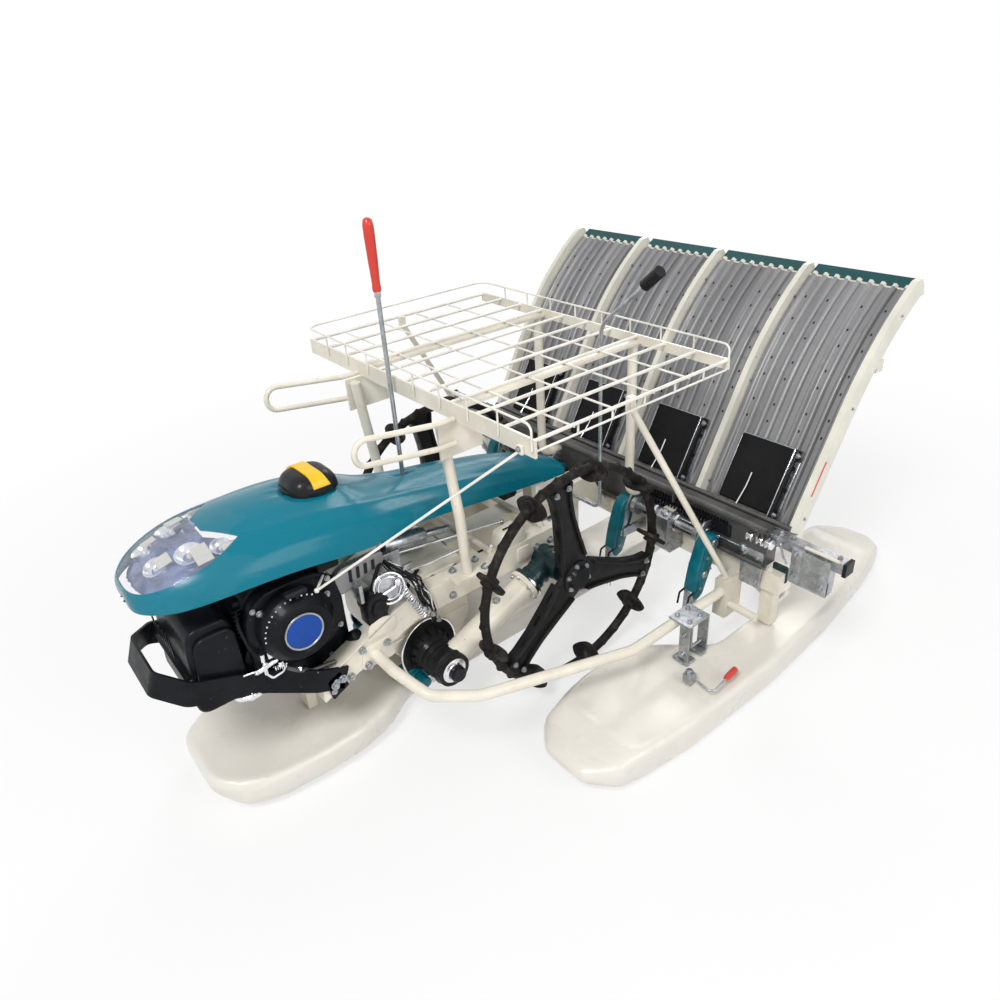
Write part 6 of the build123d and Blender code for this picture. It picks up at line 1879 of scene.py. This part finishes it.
class TRANSPLANTER_OT_stage(bpy.types.Operator):
    """Adds the floor, the lamps and the camera"""
    bl_idname = "transplanter.stage"
    bl_label = "Stage"

    def execute(self, context):
        scene = context.scene
        camera = bpy.data.objects.new("view_camera", bpy.data.cameras.new("view_camera"))
        scene.collection.objects.link(camera)
        back = Vector((sin(EYE_AZIMUTH) * cos(EYE_ELEVATION), -cos(EYE_AZIMUTH) * cos(EYE_ELEVATION),
                       sin(EYE_ELEVATION)))
        right = Vector((cos(EYE_AZIMUTH), sin(EYE_AZIMUTH), 0))
        up = back.cross(right)
        across = right * cos(EYE_ROLL) + up * sin(EYE_ROLL)
        upward = up * cos(EYE_ROLL) - right * sin(EYE_ROLL)
        camera.matrix_world = Matrix.Translation(EYE) @ Matrix((across, upward, back)).transposed().to_4x4()
        camera.data.lens = EYE_FOCAL
        camera.data.sensor_width = 36
        scene.camera = camera
        for name, place, width, power in LAMPS:
            lamp = bpy.data.objects.new(name, bpy.data.lights.new(name, "AREA"))
            lamp.data.shape = "DISK"
            lamp.data.size = width
            lamp.data.energy = power
            lamp.location = place
            aim = LAMP_AIM - Vector(place)
            lamp.rotation_euler = aim.to_track_quat("-Z", "Y").to_euler()
            scene.collection.objects.link(lamp)
        floor = skin(2, 2, lambda u, v: Vector((2 * FLOOR_HALF * u - FLOOR_HALF,
                    2 * FLOOR_HALF * v - FLOOR_HALF, -0.0005)), merge=False)
        floor.name = "floor"
        nodes = Nodes("floor_finish")
        tone = nodes.noise(0.8, 3)
        pale = tuple(colours().floor)
        nodes.set(Base_Color=nodes.ramp(tone, shade_of(pale, 0.99), pale), Roughness=0.9)
        white = nodes.add("ShaderNodeEmission")
        distance = nodes.add("ShaderNodeVectorMath", operation="LENGTH")
        nodes.join(nodes.place, distance.inputs[0])
        far = nodes.span(distance.outputs["Value"], 0.62, 1.0, 1.2, 2.6)
        share = nodes.add("ShaderNodeMath", operation="MULTIPLY")
        nodes.join(far, share.inputs[0])
        nodes.join(seen_share(nodes.tree), share.inputs[1])
        mixed = nodes.add("ShaderNodeMixShader")
        nodes.join(share.outputs[0], mixed.inputs["Fac"])
        nodes.join(nodes.shader.outputs[0], mixed.inputs[1])
        nodes.join(white.outputs[0], mixed.inputs[2])
        nodes.join(mixed.outputs[0], nodes.tree.nodes["Material Output"].inputs["Surface"])
        floor.data.materials.append(nodes.material)
        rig.stage(floor)
        world = bpy.data.worlds.new("studio")
        world.use_nodes = True
        scene.world = world
        tree = world.node_tree
        background = tree.nodes["Background"]
        background.inputs["Color"].default_value = (1, 1, 1, 1)
        level = tree.nodes.new("ShaderNodeMapRange")
        level.inputs["To Min"].default_value = 0.42
        level.inputs["To Max"].default_value = 1.0
        tree.links.new(seen_share(tree), level.inputs["Value"])
        tree.links.new(level.outputs["Result"], background.inputs["Strength"])
        scene.view_settings.view_transform = "Standard"
        return {"FINISHED"}


class TRANSPLANTER_OT_frame_finish(bpy.types.Operator):
    """Gives every frame node its finish"""
    bl_idname = "transplanter.frame_finish"
    bl_label = "Frame finish"

    def execute(self, context):
        for node in frame["nodes"].values():
            slot = node.data.materials[0].name
            for index in range(len(node.material_slots)):
                node.material_slots[index].material = lens_finish() if slot == "lamp_lens" else finish(slot)
        return {"FINISHED"}


# ---- add-on
OPERATORS = [cls for name, cls in sorted(globals().items()) if name.startswith("TRANSPLANTER_OT_")]


class TRANSPLANTER_PT_pieces(bpy.types.Panel):
    """Lists the colours, the sizes and the pieces"""
    bl_idname = "TRANSPLANTER_PT_pieces"
    bl_label = "Transplanter"
    bl_space_type = "VIEW_3D"
    bl_region_type = "UI"
    bl_category = "Transplanter"

    def draw(self, context):
        for group in (context.scene.transplanter_colours, context.scene.transplanter_sizes):
            for key in group.__annotations__:
                self.layout.prop(group, key)
        for cls in OPERATORS:
            self.layout.operator(cls.bl_idname)


CLASSES = (TransplanterColours, TransplanterSizes, *OPERATORS, TRANSPLANTER_PT_pieces)


def register():
    """Registers the settings, the operators and the panel."""
    for cls in CLASSES:
        bpy.utils.register_class(cls)
    bpy.types.Scene.transplanter_colours = PointerProperty(type=TransplanterColours)
    bpy.types.Scene.transplanter_sizes = PointerProperty(type=TransplanterSizes)


def unregister():
    """Takes them away again."""
    del bpy.types.Scene.transplanter_colours
    del bpy.types.Scene.transplanter_sizes
    for cls in reversed(CLASSES):
        bpy.utils.unregister_class(cls)


def main():
    """Builds everything in order and notes the sizes before and after."""
    register()
    for step in ORDER:
        getattr(bpy.ops.transplanter, step)()
    sizes_file = {"cad": CAD_BOX, "visual": [list(corner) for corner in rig.bounds()]}
    with open("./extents.json", "w") as out:
        json.dump(sizes_file, out)


ORDER = ("stage", "frame_finish", "hood", "tank_cap", "engine", "wheels",
         "frame_fittings", "gearbox", "planting", "tray", "floats", "controls")

if __name__ == "__main__":
    main()
